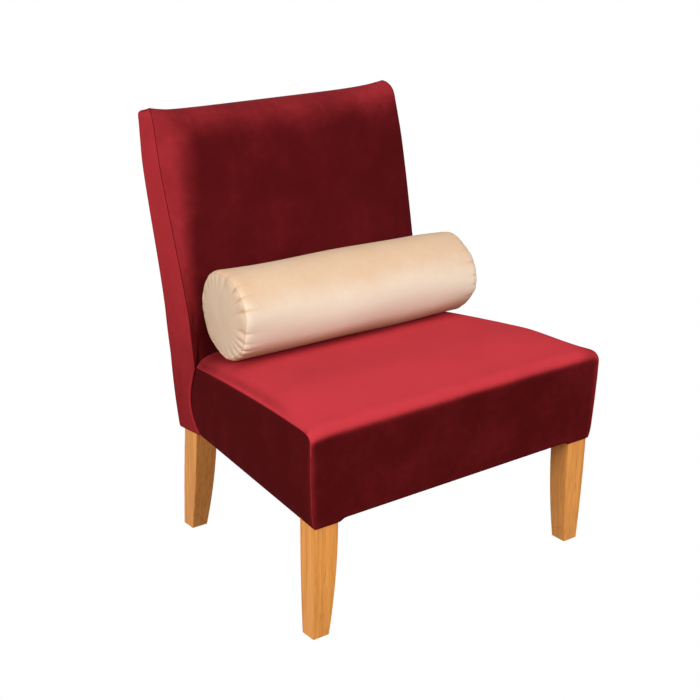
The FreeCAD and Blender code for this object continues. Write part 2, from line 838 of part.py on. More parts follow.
# Seat upholstery
seat_outer = seat_body(0.0)
back_outer = back_body(0.0)
back_clear = back_body(-panel_gap)
seat_shell = seat_outer.cut(seat_body(cover_thickness))
save("seat_cover", [without(seat_shell, [below(hem_height), front_hem_cut(), back_clear])])
wadding_outer = cover_room
wadding_inner = wadding_outer + wadding_thickness
foam_inset = wadding_inner + layer_gap
seat_wadding = seat_body(wadding_outer).cut(seat_body(wadding_inner))
save("seat_wadding", [without(seat_wadding, [below(rail_top + layer_gap), back_clear])])
save("seat_foam", [without(seat_body(foam_inset), [below(foam_bottom), back_clear])])

# Back upholstery
back_shell = back_outer.cut(back_body(cover_thickness)).cut(below(hem_height))
panel_half = back_waist_width / 2 - outside_panel_margin
panel_top = back_height - back_top_dip - outside_panel_margin
panel_bottom = hem_height - hem_run_on
panel_hole = behind(cover_room, panel_bottom, panel_top, panel_half)
panel_fit = behind(cover_room, panel_bottom, panel_top - panel_gap, panel_half - panel_gap)
save("back_cover", [without(back_shell, [tuck_opening(), panel_hole])])
save("outside_back_panel", [back_shell.common(panel_fit)])
back_layer_low = seat_rear_height - tuck_lap
top_over = back_height + back_top_dip
back_inside = back_body(wadding_outer)
back_wadding = back_inside.cut(back_body(wadding_inner))
rear_cut = behind(wadding_inner + panel_gap, back_layer_low, top_over, overall_depth)
# Trimmings left beside the stiles are thrown away
back_layer = without(back_wadding, [below(back_layer_low), rear_cut, top_rail] + both_stiles)
save("back_wadding", [max(back_layer.Solids, key=lambda solid: solid.Volume)])
belt_room = webbing_thickness + 2 * layer_gap
front_cut = behind_stile_fronts(belt_room, back_layer_low, top_over)
save("back_foam", [without(back_body(foam_inset), [below(back_layer_low), front_cut])])
liner_near = [(stile_rear(z) + layer_gap, z) for z in heights(rail_bottom, frame_top)]
liner_far = [(y + liner_thickness, z) for y, z in liner_near]
save("back_liner", [side_prism(liner_near, liner_far, stile_half).common(back_inside)])

# Bolster
seat_clear = seat_body(-panel_gap)
bolster_outer = without(laid(bolster_body(0.0)), [seat_clear, back_clear])
bolster_room = panel_gap + bolster_cover
neighbours = [seat_body(-bolster_room), back_body(-bolster_room)]
bolster_inner = without(laid(bolster_body(bolster_cover)), neighbours)
save("bolster_cover", [bolster_outer.cut(bolster_inner)])
filling_room = bolster_room + layer_gap
neighbours = [seat_body(-filling_room), back_body(-filling_room)]
save("bolster_filling", [without(laid(bolster_body(bolster_cover + layer_gap)), neighbours)])
tape_low = bolster_diameter / 2 + layer_gap
tape_high = tape_low + zip_tape_thickness
save("bolster_zip_tape", [laid(zip_band(tape_low, tape_high, zip_tape_width, zip_length))])
coil = zip_band(tape_high, tape_high + zip_coil_height, zip_coil_width, zip_length)
save("bolster_zip_coil", [laid(coil)])
save("zip_slider", [laid(zip_slider())])
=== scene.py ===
import math

import bmesh
import bpy
import numpy as np
from mathutils import Matrix, Vector
from mathutils.bvhtree import BVHTree


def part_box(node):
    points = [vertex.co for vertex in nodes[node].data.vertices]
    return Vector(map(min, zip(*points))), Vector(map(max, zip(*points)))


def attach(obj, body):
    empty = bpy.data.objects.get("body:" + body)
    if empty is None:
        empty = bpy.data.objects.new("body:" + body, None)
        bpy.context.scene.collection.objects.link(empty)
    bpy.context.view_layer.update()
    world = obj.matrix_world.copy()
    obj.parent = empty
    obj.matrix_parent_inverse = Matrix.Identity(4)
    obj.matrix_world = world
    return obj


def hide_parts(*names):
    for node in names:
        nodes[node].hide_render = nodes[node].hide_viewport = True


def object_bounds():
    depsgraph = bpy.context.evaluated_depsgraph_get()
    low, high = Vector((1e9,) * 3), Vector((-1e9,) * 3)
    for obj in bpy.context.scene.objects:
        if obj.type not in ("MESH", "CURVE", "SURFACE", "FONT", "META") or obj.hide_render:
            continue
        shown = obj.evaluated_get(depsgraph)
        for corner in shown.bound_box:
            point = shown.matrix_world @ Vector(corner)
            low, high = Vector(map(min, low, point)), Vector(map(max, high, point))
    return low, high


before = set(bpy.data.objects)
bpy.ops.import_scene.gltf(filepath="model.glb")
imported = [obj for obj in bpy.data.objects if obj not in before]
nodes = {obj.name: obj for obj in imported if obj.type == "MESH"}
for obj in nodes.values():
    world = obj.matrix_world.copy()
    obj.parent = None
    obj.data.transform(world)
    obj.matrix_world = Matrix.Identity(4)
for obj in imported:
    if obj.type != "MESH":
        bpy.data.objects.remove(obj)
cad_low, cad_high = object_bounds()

# Armless velvet chair with a loose bolster. Shapes are worked out in millimetres, front at -Y, left at -X,
# and written to the meshes in metres.
MM = 0.001

# Seat; pairs are front and rear
seat_front = cad_low.y / MM
seat_middle_y = -80.0
tuck_y = 145.0
run_limit = 1.1  # share of the run, a little past the tuck
seat_top_half = (328.0, 267.0)
seat_hem_half = (321.5, 275.0)
seat_edge_height = (389.0, 353.0)
seat_fall_power = 1.5
seat_crown = (5.0, 28.0)
seat_crown_run = 0.35  # share of the run in which the crown rises
seat_crown_power = 14.0
bolster_press = 8.0  # how deep the seat gives under the bolster
bolster_press_y = (-30.0, 50.0)
bolster_press_x = (260.0, 190.0)
seat_front_roll = 22.0
seat_side_roll = 5.0
seat_front_lean = 5.0
seat_side_swell = 2.0
foam_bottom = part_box("seat_foam")[0].z / MM

# Hem of seat and back
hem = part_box("seat_cover")[0].z / MM
hem_front_rise = 5.0
hem_step = 7.0  # width of the hem's step beside a front leg
hem_rear_rise = 6.0
hem_turn = 4.0
hem_turn_height = 22.0
hem_inside_rises = (0.0, 12.0, 40.0)  # levels of the turned-in hem, above the hem
hidden_hem_step = (2.0, 14.0)  # from the side, where the hem rises between seat and back
hidden_hem_gap = 6.0
leg_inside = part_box("front_leg_right")[0].x / MM

# Back; pairs are at the bend and at the top, and back_half_at is at the hem, the seat, the bend and the top
back_height = 814.0
bend_height = 437.0
back_bend_y = 250.0
back_middle_y = 170.0
back_rake = 60.0
back_sweep = 0.15
back_kick = 49.0
back_kick_curve = 0.60
back_thickness = (93.0, 53.0)
back_half_at = (277.0, 270.0, 271.0, 279.0)
back_top_dip = 10.5
back_ear_power = 6
back_rear_ear = 0.55  # share of the front's ears that the rear edge has
back_rear_drop = 2.0
back_crown_at = (hem, seat_edge_height[1], bend_height, 689.0, back_height)
back_crown = (0.5, 4.5, 14.0, 14.0, 7.0)
back_crown_power = 2.8
back_front_round = 24.0
back_rear_round = 9.0
back_side_round = 10.0
back_side_bow = 4.0
back_rear_bow = 4.0
back_bow_at = 700.0
back_hidden_depth = 40.0
tuck_below_hem = 20.0
tuck_hem_y = 78.0
tuck_mid_y = 156.7
tuck_rise = 44.0
tuck_in = 3.0  # how far the seat reaches into the back

# Outside back panel
panel_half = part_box("outside_back_panel")[1].x / MM
panel_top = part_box("outside_back_panel")[1].z / MM
panel_recess = 2.9
panel_recess_step = 5.0
panel_grid = (50, 56)
panel_hem_gap = 0.5
panel_edge_depth = 2.2
panel_edge_rise = 2.0
panel_edge_run = (-1.0, 14.0)
panel_bow = 0.6
panel_bow_run = 200.0
panel_stitch_depth = 0.6
panel_stitch_ends = (6.0, 1.0)
panel_stitch_points = (50, 60)

# Covers and their stuffing
cover_wall = 2.8
cover_slack = 0.6  # how far a cover may lie below its outline
stuffing_pressure = 5.0
stuffing_frames = 20
seam_hold = 0.9
bolster_seam_hold = 0.95
grid_across = 82
seat_rows = 58
back_rows = 12
wall_rows = 24
back_wall_rows = 74
roll_rows = 5

# Bolster; turns run from the top to the rear, shares from a cap's middle to its seam
bolster_centre = np.array([19.0, 71.05, 461.95])
bolster_yaw = math.radians(-1.0)
bolster_radius = 82.0
bolster_draw = 0.8  # left for the stuffing to fill out
bolster_seam_radius = 75.0
bolster_seam_at = 267.0
bolster_bulge = 9.0
bolster_shoulder = 15.0
bolster_squash = 7.0
bolster_squash_spread = math.radians(35.0)
bolster_around = 240
bolster_gap = 0.4
cap_ring_shares = (0.12, 0.27, 0.42, 0.56, 0.67, 0.75, 0.81, 0.86, 0.9, 0.935, 0.965, 0.985)
end_ring_depths = (0, 1.2, 3, 5, 7.5, 10.5, 14, 18.5, 24, 31, 39, 48)
tube_rings = 46
cap_middle_rise = 0.2
cap_dent = 3.0
cap_dent_share = 0.35
cap_dent_run = 0.3
cap_dent_turn = 2.2
cap_gather = 5.0
cap_gather_share = 0.92
cap_gather_run = 0.13
tube_gather = 2.6
tube_gather_run = 12.0
pucker_count = 21
pucker_wander = (1.3, 0.8)
pucker_roundness = 0.55
pucker_base = 0.65
pucker_front = math.radians(265.0)
pucker_spread = (-0.5, 0.6)
pucker_rear_share = 0.45
lump_heights = (1.3, 0.9)
lump_run = 35.0
plump_top = 3.0
plump_spread = (-0.3, 0.8)
plump_fall = 0.012  # for each millimetre to the right
thin_end = 3.5
thin_end_run = 50.0
slack_waves = ((0.9, 2, 70.0), (0.7, 3, -45.0))  # height, waves round, run along

# Zip
zip_turn = math.radians(135.0)
zip_reach = 209.0
zip_bed = 19.0  # half the width of the flat under the tape
zip_bed_end = 25.0
zip_bed_depth = 0.4
zip_tape_top = 1.1
zip_tooth_middle = 0.9

# Dust cover and its staples
dust_middle_y = -50.0
dust_edge = 20.0  # longest edge that stays undivided
dust_divisions = 3
dust_lift = 0.2
dust_sag = 4.0
dust_sag_run = 90.0
dust_ripple = 0.5
dust_ripple_rate = (0.070, 0.055)  # radians for each millimetre
staple_depth = 0.3
staple_inset = 6.0
staple_end_gap = 14.0
staple_shortest_row = 60.0
staple_row_points = 12  # along the line that the row follows

# Sewn seams
stitch_length = 2.5
# run over which a seam's painted light changes at the seat's edge
seam_light_run = 6.0
seat_seam_lift = 0.2
back_seam_lift = -0.1
bolster_seam_lift = -0.5


def blended(a, b, u):
    return a + (b - a) * u


def eased(low, high, value):
    """0 below low, 1 above high, and a smooth rise between them."""
    u = np.clip((value - low) / (high - low), 0.0, 1.0)
    return u * u * (3 - 2 * u)


def curved(u, bend):
    return u * (1 - bend) + bend * u * u


def rolled(depth, radius):
    """How far a rounded edge of that radius lies below its sharp corner, at a depth behind it."""
    left = np.clip(radius - depth, 0.0, radius)
    return radius - np.sqrt(radius * radius - left * left)


# Outline of the back
def back_rear(z):
    """Rear of the back: raked above the bend and kicked forward below it."""
    z = np.asarray(z, float)
    up = np.clip((z - bend_height) / (back_height - bend_height), 0.0, None)
    down = np.clip((bend_height - z) / (bend_height - hem), 0.0, None)
    straight = back_bend_y + back_rake * curved(up, back_sweep) - back_kick * curved(down, back_kick_curve)
    return straight + back_rear_bow * back_bow(z)


def back_bow(z):
    """Share of the bow that the stuffing gives the back's sides and rear."""
    return eased(bend_height, back_bow_at, z) * eased(back_height, back_bow_at, z)


def back_half(z):
    levels = [hem, seat_edge_height[1], bend_height, back_height]
    return np.interp(z, levels, back_half_at) + back_side_bow * back_bow(z)


def back_face(x, z):
    """Front of the back; below the seat's rear edge it is the curve along which seat and back meet."""
    z = np.asarray(z, float)
    up = np.clip((z - bend_height) / (back_height - bend_height), 0.0, 1.0)
    front = back_rear(z) - back_rear_bow * back_bow(z) - blended(*back_thickness, up)
    low = seat_edge_height[1]
    places = [hem - tuck_below_hem, hem + tuck_rise, low, bend_height]
    edge_y = back_rear(low) - back_thickness[0]
    tuck = np.polyfit(places, [tuck_hem_y, tuck_mid_y, edge_y, back_bend_y - back_thickness[0]], 3)
    front = np.where(z < low, np.polyval(tuck, z), front)
    crown = np.interp(z, back_crown_at, back_crown)
    return front - crown * (1 - np.abs(x / back_half(z)) ** back_crown_power)


def back_top(x, ear=1.0):
    """The top edge dips between its raised ends, the ears."""
    return back_height - back_top_dip * (1 - ear * np.abs(x / back_half_at[-1]) ** back_ear_power)


# Outline of the seat
def seat_run(y):
    """Share of the way from the seat's front to where it is tucked in at the back."""
    return np.clip((y - seat_front) / (tuck_y - seat_front), 0.0, run_limit)


def seat_edge(y):
    return blended(*seat_edge_height, seat_run(y) ** seat_fall_power)


def seat_top(x, y):
    run = seat_run(y)
    pressed = bolster_press * eased(*bolster_press_y, y) * eased(*bolster_press_x, x)
    crown = blended(*seat_crown, eased(0.0, seat_crown_run, run)) - pressed
    across = np.clip(np.abs(x) / blended(*seat_top_half, run), 0.0, 1.0)
    return seat_edge(y) + crown * (1 - across ** seat_crown_power)


def seat_half(y, z):
    run = seat_run(y)
    share = np.clip((z - hem) / (seat_edge(y) - hem), 0.0, 1.0)
    half = blended(blended(*seat_hem_half, run), blended(*seat_top_half, run), share)
    turn = hem_turn * np.clip(1 - (z - hem) / hem_turn_height, 0.0, 1.0) ** 2
    return half + seat_side_swell * 4 * share * (1 - share) - turn


def front_lean(z):
    return seat_front_lean * (1 - (z - hem) / (seat_edge_height[0] - hem))


def side_roll(y):
    """Radius of the rounded side edge, which runs out into the front's rounded edge."""
    return seat_side_roll * eased(0, seat_front_roll, y - seat_front)


def front_hem(x):
    return hem + hem_front_rise * eased(0.0, hem_step, leg_inside - np.abs(x))


def front_columns():
    """Shares of the width; two columns stand beside each leg, so that the hem steps up sharply there."""
    spread = np.linspace(-1, 1, grid_across + 1)
    at_leg = leg_inside / seat_hem_half[0]
    column = round((1 + at_leg) / 2 * grid_across)
    for place, share in ((column, at_leg), (column - 1, at_leg - hem_step / seat_hem_half[0])):
        spread[place], spread[grid_across - place] = share, -share
    return spread


# Meshes
def add_object(name, data):
    thing = bpy.data.objects.new(name, data)
    bpy.context.scene.collection.objects.link(thing)
    return thing


def add_mesh(name, points, faces):
    mesh = bpy.data.meshes.new(name)
    mesh.from_pydata((np.asarray(points) * MM).tolist(), [], faces)
    bm = bmesh.new()
    bm.from_mesh(mesh)
    bmesh.ops.recalc_face_normals(bm, faces=bm.faces)
    bm.to_mesh(mesh)
    bm.free()
    mesh.shade_smooth()
    return add_object(name, mesh)


def coordinates(mesh):
    flat = np.empty(len(mesh.vertices) * 3)
    mesh.vertices.foreach_get("co", flat)
    return flat.reshape(-1, 3) / MM


def normals(mesh):
    flat = np.empty(len(mesh.vertices) * 3)
    mesh.vertex_normals.foreach_get("vector", flat)
    return flat.reshape(-1, 3)


def set_coordinates(mesh, points):
    mesh.vertices.foreach_set("co", (points * MM).ravel())
    mesh.update()


# Paints the level that sets the velvet's colour: painted light and shade together with the nap
def paint_light_and_nap(piece, values):
    layer = piece.data.attributes.new("light_and_nap", "FLOAT", "POINT")
    layer.data.foreach_set("value", np.asarray(values, np.float32))


def coat(piece, finish):
    piece.data.materials.clear()
    piece.data.materials.append(finish)


def cap_index(across, rows):
    """Which loop point borders each place of the cap's grid, or -1 inside it."""
    total = 2 * (across + rows)
    index = -np.ones((across + 1, rows + 1), int)
    for i in range(across + 1):
        index[i, 0] = i
        index[i, rows] = 2 * across + rows - i
    for j in range(rows + 1):
        index[across, j] = across + j
        index[0, j] = (total - j) % total
    return index


def patch(loop, across, rows):
    """Grid of points stretched inside a closed loop of four sides."""
    index = cap_index(across, rows)
    u = np.linspace(0, 1, across + 1)[:, None, None]
    v = np.linspace(0, 1, rows + 1)[None, :, None]
    front, rear = loop[index[:, 0]][:, None], loop[index[:, rows]][:, None]
    left, right = loop[index[0]][None], loop[index[across]][None]
    corners = (1 - u) * ((1 - v) * left[:, :1] + v * left[:, -1:])
    corners = corners + u * ((1 - v) * right[:, :1] + v * right[:, -1:])
    return (1 - v) * front + v * rear + (1 - u) * left + u * right - corners


def cover(name, outer, inner, across, rows, crown):
    """Closed cover: loops from the hem to the top, a cap with its crown, the turned-in hem and a ceiling."""
    total = 2 * (across + rows)
    loops = list(reversed(inner)) + list(outer)
    points = [p for loop in loops for p in loop]
    faces = []
    for k in range(len(loops) - 1):
        for i in range(total):
            a, b = k * total + i, k * total + (i + 1) % total
            faces.append((a, b, b + total, a + total))
    for base, loop, height in ((0, loops[0], None), ((len(loops) - 1) * total, loops[-1], crown)):
        grid = patch(np.asarray(loop), across, rows)
        index = cap_index(across, rows)
        if height:
            grid[:, :, 2] = height(grid[:, :, 0], grid[:, :, 1])
        for i in range(1, across):
            for j in range(1, rows):
                index[i, j] = len(points) - base
                points.append(grid[i, j])
        for i in range(across):
            for j in range(rows):
                quad = (index[i, j], index[i + 1, j], index[i + 1, j + 1], index[i, j + 1])
                faces.append(tuple(base + q for q in quad))
    return add_mesh(name, points, faces)


def closed_loop(front, right, rear):
    """One loop round a cover; its left side is the right side mirrored."""
    left = right[::-1] * [-1, 1, 1]
    return np.concatenate([side[:-1] for side in (front, right, rear, left)])


def seat_wall_loop(v):
    """Loop round the seat's walls, at a share v of their height."""
    columns = front_columns()
    along = np.linspace(0, 1, seat_rows + 1)
    x = columns * seat_hem_half[0]
    z = blended(front_hem(x), seat_top(x, seat_front) - seat_front_roll, v)
    front = np.stack([columns * seat_half(seat_front, z), seat_front + front_lean(z), z], 1)
    y = blended(seat_front, tuck_y, along)
    low = hem + hem_rear_rise * along
    z = blended(low, seat_edge(y) - rolled(y - seat_front, seat_front_roll) - side_roll(y), v)
    y = blended(seat_front + front_lean(z), back_face(seat_top_half[1], z) + tuck_in, along)
    right = np.stack([seat_half(y, z), y, z], 1)
    half = right[-1][0]
    x = -np.linspace(-1, 1, grid_across + 1) * half
    raised = blended(low[-1], foam_bottom - hidden_hem_gap, eased(*hidden_hem_step, half - np.abs(x)))
    z = blended(raised, seat_top(x, tuck_y) - seat_side_roll, v)
    rear = np.stack([x, back_face(x, z) + tuck_in, z], 1)
    return closed_loop(front, right, rear)


def seat_roll_loop(turn):
    """Loop round the seat's rounded top edge, from 0 at the wall to a quarter turn at the top."""
    fall, back = 1 - math.sin(turn), 1 - math.cos(turn)
    y = np.full(grid_across + 1, seat_front + seat_front_roll * back)
    x = front_columns() * blended(*seat_top_half, seat_run(y))
    front = np.stack([x, y, seat_top(x, y) - seat_front_roll * fall], 1)
    end = float(back_face(seat_top_half[1], seat_edge_height[1])) + tuck_in - seat_side_roll * back
    y = np.linspace(y[0], end, seat_rows + 1)
    z = seat_edge(y) - rolled(y - seat_front, seat_front_roll) - side_roll(y) * fall
    right = np.stack([blended(*seat_top_half, seat_run(y)) - side_roll(y) * back, y, z], 1)
    x = -np.linspace(-1, 1, grid_across + 1) * right[-1][0]
    z = seat_top(x, end) - seat_side_roll * fall
    rear = np.stack([x, back_face(x, z) + tuck_in - seat_side_roll * back, z], 1)
    return closed_loop(front, right, rear)


def seat_loops():
    walls = [seat_wall_loop(v) for v in np.linspace(0, 1, wall_rows)]
    return walls + [seat_roll_loop(turn) for turn in np.linspace(0, math.pi / 2, roll_rows + 1)[1:]]


def turned_in(loop, levels, middle_y):
    """The hem's inside: the outline drawn in by the cover's wall, and raised level by level."""
    inner = []
    for level in levels:
        drawn = loop.copy()
        drawn[:, 0] -= np.clip(drawn[:, 0], -cover_wall, cover_wall)
        drawn[:, 1] -= np.clip(drawn[:, 1] - middle_y, -cover_wall, cover_wall)
        drawn[:, 2] = np.maximum(drawn[:, 2], level)
        inner.append(drawn)
    return inner


def back_loop(front_z, side_z, rear_z, turn):
    """Loop round the back, at its own height in front, at the sides and behind; turn rounds its top edge."""
    spread = np.linspace(-1, 1, grid_across + 1)
    back = 1 - math.cos(turn)
    x = spread * (back_half(front_z) - back_side_round * back)
    front = np.stack([x, back_face(x, front_z) + back_front_round * back, front_z], 1)
    half = back_half(side_z)
    near = back_face(half, side_z) + back_front_round * back
    far = back_rear(side_z) - back_rear_round * back
    y = blended(near, far, np.linspace(0, 1, back_rows + 1))
    right = np.stack([half - back_side_round * back, y, side_z], 1)
    x = -spread * (back_half(rear_z) - back_side_round * back)
    under_panel = eased(0, panel_recess_step, panel_half - np.abs(x))
    under_panel = under_panel * eased(0, panel_recess_step, panel_top - rear_z)
    y = back_rear(rear_z) - back_rear_round * back - panel_recess * under_panel
    return closed_loop(front, right, np.stack([x, y, rear_z], 1))


def back_loops():
    along = np.linspace(0, 1, back_rows + 1)
    x = np.linspace(-1, 1, grid_across + 1) * back_half(back_height)
    top = back_top(x)
    rear_top = back_top(x, back_rear_ear) - back_rear_drop
    side_top = blended(top[-1], rear_top[-1], along)
    side_round = blended(back_front_round, back_rear_round, along)
    side_low = hem + hem_rear_rise * (1 - along)
    hidden = seat_edge_height[1] - back_hidden_depth
    low = blended(side_low[0], hidden, eased(*hidden_hem_step, back_half(hem) - np.abs(x)))
    loops = []
    for v in np.linspace(0, 1, back_wall_rows):
        front_z = blended(low, top - back_front_round, v)
        side_z = blended(side_low, side_top - side_round, v)
        loops.append(back_loop(front_z, side_z, blended(hem, rear_top - back_rear_round, v), 0.0))
    for turn in np.linspace(0, math.pi / 2, roll_rows + 1)[1:]:
        fall = 1 - math.sin(turn)
        front_z = top - back_front_round * fall
        rear_z = rear_top - back_rear_round * fall
        loops.append(back_loop(front_z, side_top - side_round * fall, rear_z, turn))
    return loops


def swollen(piece, held, swell, rise):
    """Blows the cover up like stuffing under it. It starts drawn in by swell where it isn't held. In the end
    no point lies deeper than the cover's slack below its first place, or higher than rise above it."""
    mesh = piece.data
    start, way = coordinates(mesh), normals(mesh)
    set_coordinates(mesh, start - way * (swell * (1 - held))[:, None])
    group = piece.vertex_groups.new(name="held")
    for i in np.nonzero(held > 0)[0]:
        group.add([int(i)], float(held[i]), "REPLACE")
    cloth = piece.modifiers.new("stuffing", "CLOTH")
    settings = cloth.settings
    settings.quality = 4
    settings.mass = 0.3
    settings.tension_stiffness = 40
    settings.compression_stiffness = 40
    settings.bending_stiffness = 2.0
    settings.use_pressure = True
    settings.uniform_pressure_force = stuffing_pressure
    settings.effector_weights.gravity = 0
    settings.vertex_group_mass = "held"
    scene = bpy.context.scene
    for step in range(1, stuffing_frames + 1):
        scene.frame_set(step)
    view = piece.evaluated_get(bpy.context.evaluated_depsgraph_get())
    out = np.sum((coordinates(view.data) - start) * way, 1)
    piece.modifiers.remove(cloth)
    piece.vertex_groups.remove(group)
    scene.frame_set(1)
    set_coordinates(mesh, start + way * np.clip(out, -cover_slack, rise)[:, None])


def applied(piece, modifier):
    """Keeps what the modifier makes as the piece's plain mesh."""
    view = piece.evaluated_get(bpy.context.evaluated_depsgraph_get())
    mesh = bpy.data.meshes.new_from_object(view)
    piece.modifiers.remove(modifier)
    old = piece.data
    piece.data = mesh
    bpy.data.meshes.remove(old)
    mesh.name = piece.name
    mesh.shade_smooth()


def finished(piece):
    """Applies one subdivision; the first vertices stay those of the coarse mesh."""
    smooth = piece.modifiers.new("subdivision", "SUBSURF")
    smooth.levels = 1
    smooth.render_levels = 1
    applied(piece, smooth)


# One function adds a node to any tree, with its settings and its links or values
def add(tree, kind, inputs=None, **settings):
    node = tree.nodes.new(kind)
    for key, value in settings.items():
        setattr(node, key, value)
    for key, value in (inputs or {}).items():
        if isinstance(value, bpy.types.NodeSocket):
            tree.links.new(value, node.inputs[key])
        else:
            node.inputs[key].default_value = value
    return node


def colour(code):
    """sRGB hex to linear, with alpha."""
    parts = [int(code[i:i + 2], 16) / 255 for i in (1, 3, 5)]
    return [p / 12.92 if p <= 0.04045 else ((p + 0.055) / 1.055) ** 2.4 for p in parts] + [1.0]


def per_mm(size):
    """Texture scale in metres for a feature of that size in millimetres."""
    return 1.0 / (size * MM)


def new_material(name):
    material = bpy.data.materials.new(name)
    material.use_nodes = True
    tree = material.node_tree
    shader = tree.nodes["Principled BSDF"]
    place = add(tree, "ShaderNodeTexCoord").outputs["Object"]
    return material, tree, shader, place


def velvet(name, dark, light, tint, sheen):
    """Cotton velvet, woven with a short cut pile: its colour runs from dark to pale by an attribute that
    holds painted light and shade together with the nap, with cloudy hand marks and a soft bright rim from
    light in the pile tips."""
    material, tree, shader, place = new_material(name)
    # painted light and shade with the nap, from 0 dark to 1 pale, set on each piece
    light_and_nap = add(tree, "ShaderNodeAttribute", attribute_name="light_and_nap").outputs["Fac"]
    clouds = add(tree, "ShaderNodeTexNoise", {"Vector": place, "Scale": per_mm(85), "Detail": 3.0})
    marks = add(tree, "ShaderNodeTexNoise", {"Vector": place, "Scale": per_mm(16), "Detail": 4.0})
    # pile tufts are about 0.4 mm; drawn at 1.2 mm so that they show
    pile = add(tree, "ShaderNodeTexNoise", {"Vector": place, "Scale": per_mm(1.2), "Detail": 2.0})
    total = light_and_nap
    for source, weight in ((clouds, 0.26), (marks, 0.11), (pile, 0.22)):
        offset = add(tree, "ShaderNodeMath", {0: source.outputs["Fac"], 1: -0.5}, operation="ADD")
        total = add(tree, "ShaderNodeMath", {0: offset.outputs[0], 1: weight, 2: total},
                    operation="MULTIPLY_ADD").outputs[0]
    share = add(tree, "ShaderNodeMapRange", {0: total, 1: 0.12, 2: 0.88}, interpolation_type="SMOOTHSTEP")
    mixed = add(tree, "ShaderNodeMix", {0: share.outputs[0], 6: colour(dark), 7: colour(light)},
                data_type="RGBA")
    bump = add(tree, "ShaderNodeBump",
               {"Height": pile.outputs["Fac"], "Strength": 0.25, "Distance": 0.4 * MM})
    tree.links.new(mixed.outputs[2], shader.inputs["Base Color"])
    tree.links.new(bump.outputs[0], shader.inputs["Normal"])
    shader.inputs["Roughness"].default_value = 0.9
    shader.inputs["Specular IOR Level"].default_value = 0.04
    shader.inputs["Sheen Weight"].default_value = sheen
    shader.inputs["Sheen Roughness"].default_value = 0.35
    shader.inputs["Sheen Tint"].default_value = colour(tint)
    return material


def straight_grain(name, dark, light, line, roughness, film):
    """Quarter-sawn hardwood, planed and sanded: fine straight streaks along the length, a few darker pore
    lines, and, where it is lacquered, a thin satin film over them."""
    material, tree, shader, place = new_material(name)
    grain_stretch = 0.018
    stretched = add(tree, "ShaderNodeMapping", {"Vector": place, "Scale": (1.0, 1.0, grain_stretch)})
    streaks = add(tree, "ShaderNodeTexNoise",
                  {"Vector": stretched.outputs[0], "Scale": per_mm(7), "Detail": 5.0, "Roughness": 0.65})
    # pores are about 0.3 mm wide; drawn at 1.6 mm so that they show
    pores = add(tree, "ShaderNodeTexNoise",
                {"Vector": stretched.outputs[0], "Scale": per_mm(1.6), "Detail": 2.0})
    thin = add(tree, "ShaderNodeMapRange", {0: pores.outputs["Fac"], 1: 0.56, 2: 0.72, 3: 0.0, 4: 0.7})
    tone = add(tree, "ShaderNodeMapRange", {0: streaks.outputs["Fac"], 1: 0.3, 2: 0.7})
    base = add(tree, "ShaderNodeMix", {0: tone.outputs[0], 6: colour(dark), 7: colour(light)},
               data_type="RGBA")
    lined = add(tree, "ShaderNodeMix", {0: thin.outputs[0], 6: base.outputs[2], 7: colour(line)},
                data_type="RGBA")
    bump = add(tree, "ShaderNodeBump",
               {"Height": pores.outputs["Fac"], "Strength": 0.12, "Distance": 0.3 * MM})
    tree.links.new(lined.outputs[2], shader.inputs["Base Color"])
    tree.links.new(bump.outputs[0], shader.inputs["Normal"])
    shader.inputs["Roughness"].default_value = roughness
    shader.inputs["Specular IOR Level"].default_value = 0.25
    shader.inputs["Coat Weight"].default_value = film
    shader.inputs["Coat Roughness"].default_value = 0.25
    return material


def woven(name, dark, light, thread, roughness):
    """Woven belt or cloth: rows of threads crossing at right angles, each catching a little light."""
    material, tree, shader, place = new_material(name)
    # the wave's phase is 20 times its place, so each thread is drawn 2 pi times as wide, to show
    phase_rate = 20
    waves = []
    for way in ("X", "Y"):
        wave = add(tree, "ShaderNodeTexWave", {"Vector": place, "Scale": per_mm(thread) / phase_rate},
                   bands_direction=way)
        waves.append(wave.outputs["Fac"])
    cross = add(tree, "ShaderNodeMath", {0: waves[0], 1: waves[1]}, operation="MULTIPLY")
    mixed = add(tree, "ShaderNodeMix", {0: cross.outputs[0], 6: colour(dark), 7: colour(light)},
                data_type="RGBA")
    bump = add(tree, "ShaderNodeBump", {"Height": cross.outputs[0], "Strength": 0.4, "Distance": 0.3 * MM})
    tree.links.new(mixed.outputs[2], shader.inputs["Base Color"])
    tree.links.new(bump.outputs[0], shader.inputs["Normal"])
    shader.inputs["Roughness"].default_value = roughness
    return material


def speckled(name, dark, light, grain, roughness, metallic=0.0):
    """Moulded, pressed or plated finish: a fine uneven grain that breaks the colour and gloss a little."""
    material, tree, shader, place = new_material(name)
    grains = add(tree, "ShaderNodeTexNoise", {"Vector": place, "Scale": per_mm(grain), "Detail": 4.0})
    mixed = add(tree, "ShaderNodeMix", {0: grains.outputs["Fac"], 6: colour(dark), 7: colour(light)},
                data_type="RGBA")
    gloss = add(tree, "ShaderNodeMapRange",
                {0: grains.outputs["Fac"], 3: roughness - 0.08, 4: roughness + 0.08})
    bump = add(tree, "ShaderNodeBump",
               {"Height": grains.outputs["Fac"], "Strength": 0.15, "Distance": 0.1 * MM})
    tree.links.new(mixed.outputs[2], shader.inputs["Base Color"])
    tree.links.new(gloss.outputs[0], shader.inputs["Roughness"])
    tree.links.new(bump.outputs[0], shader.inputs["Normal"])
    shader.inputs["Metallic"].default_value = metallic
    return material
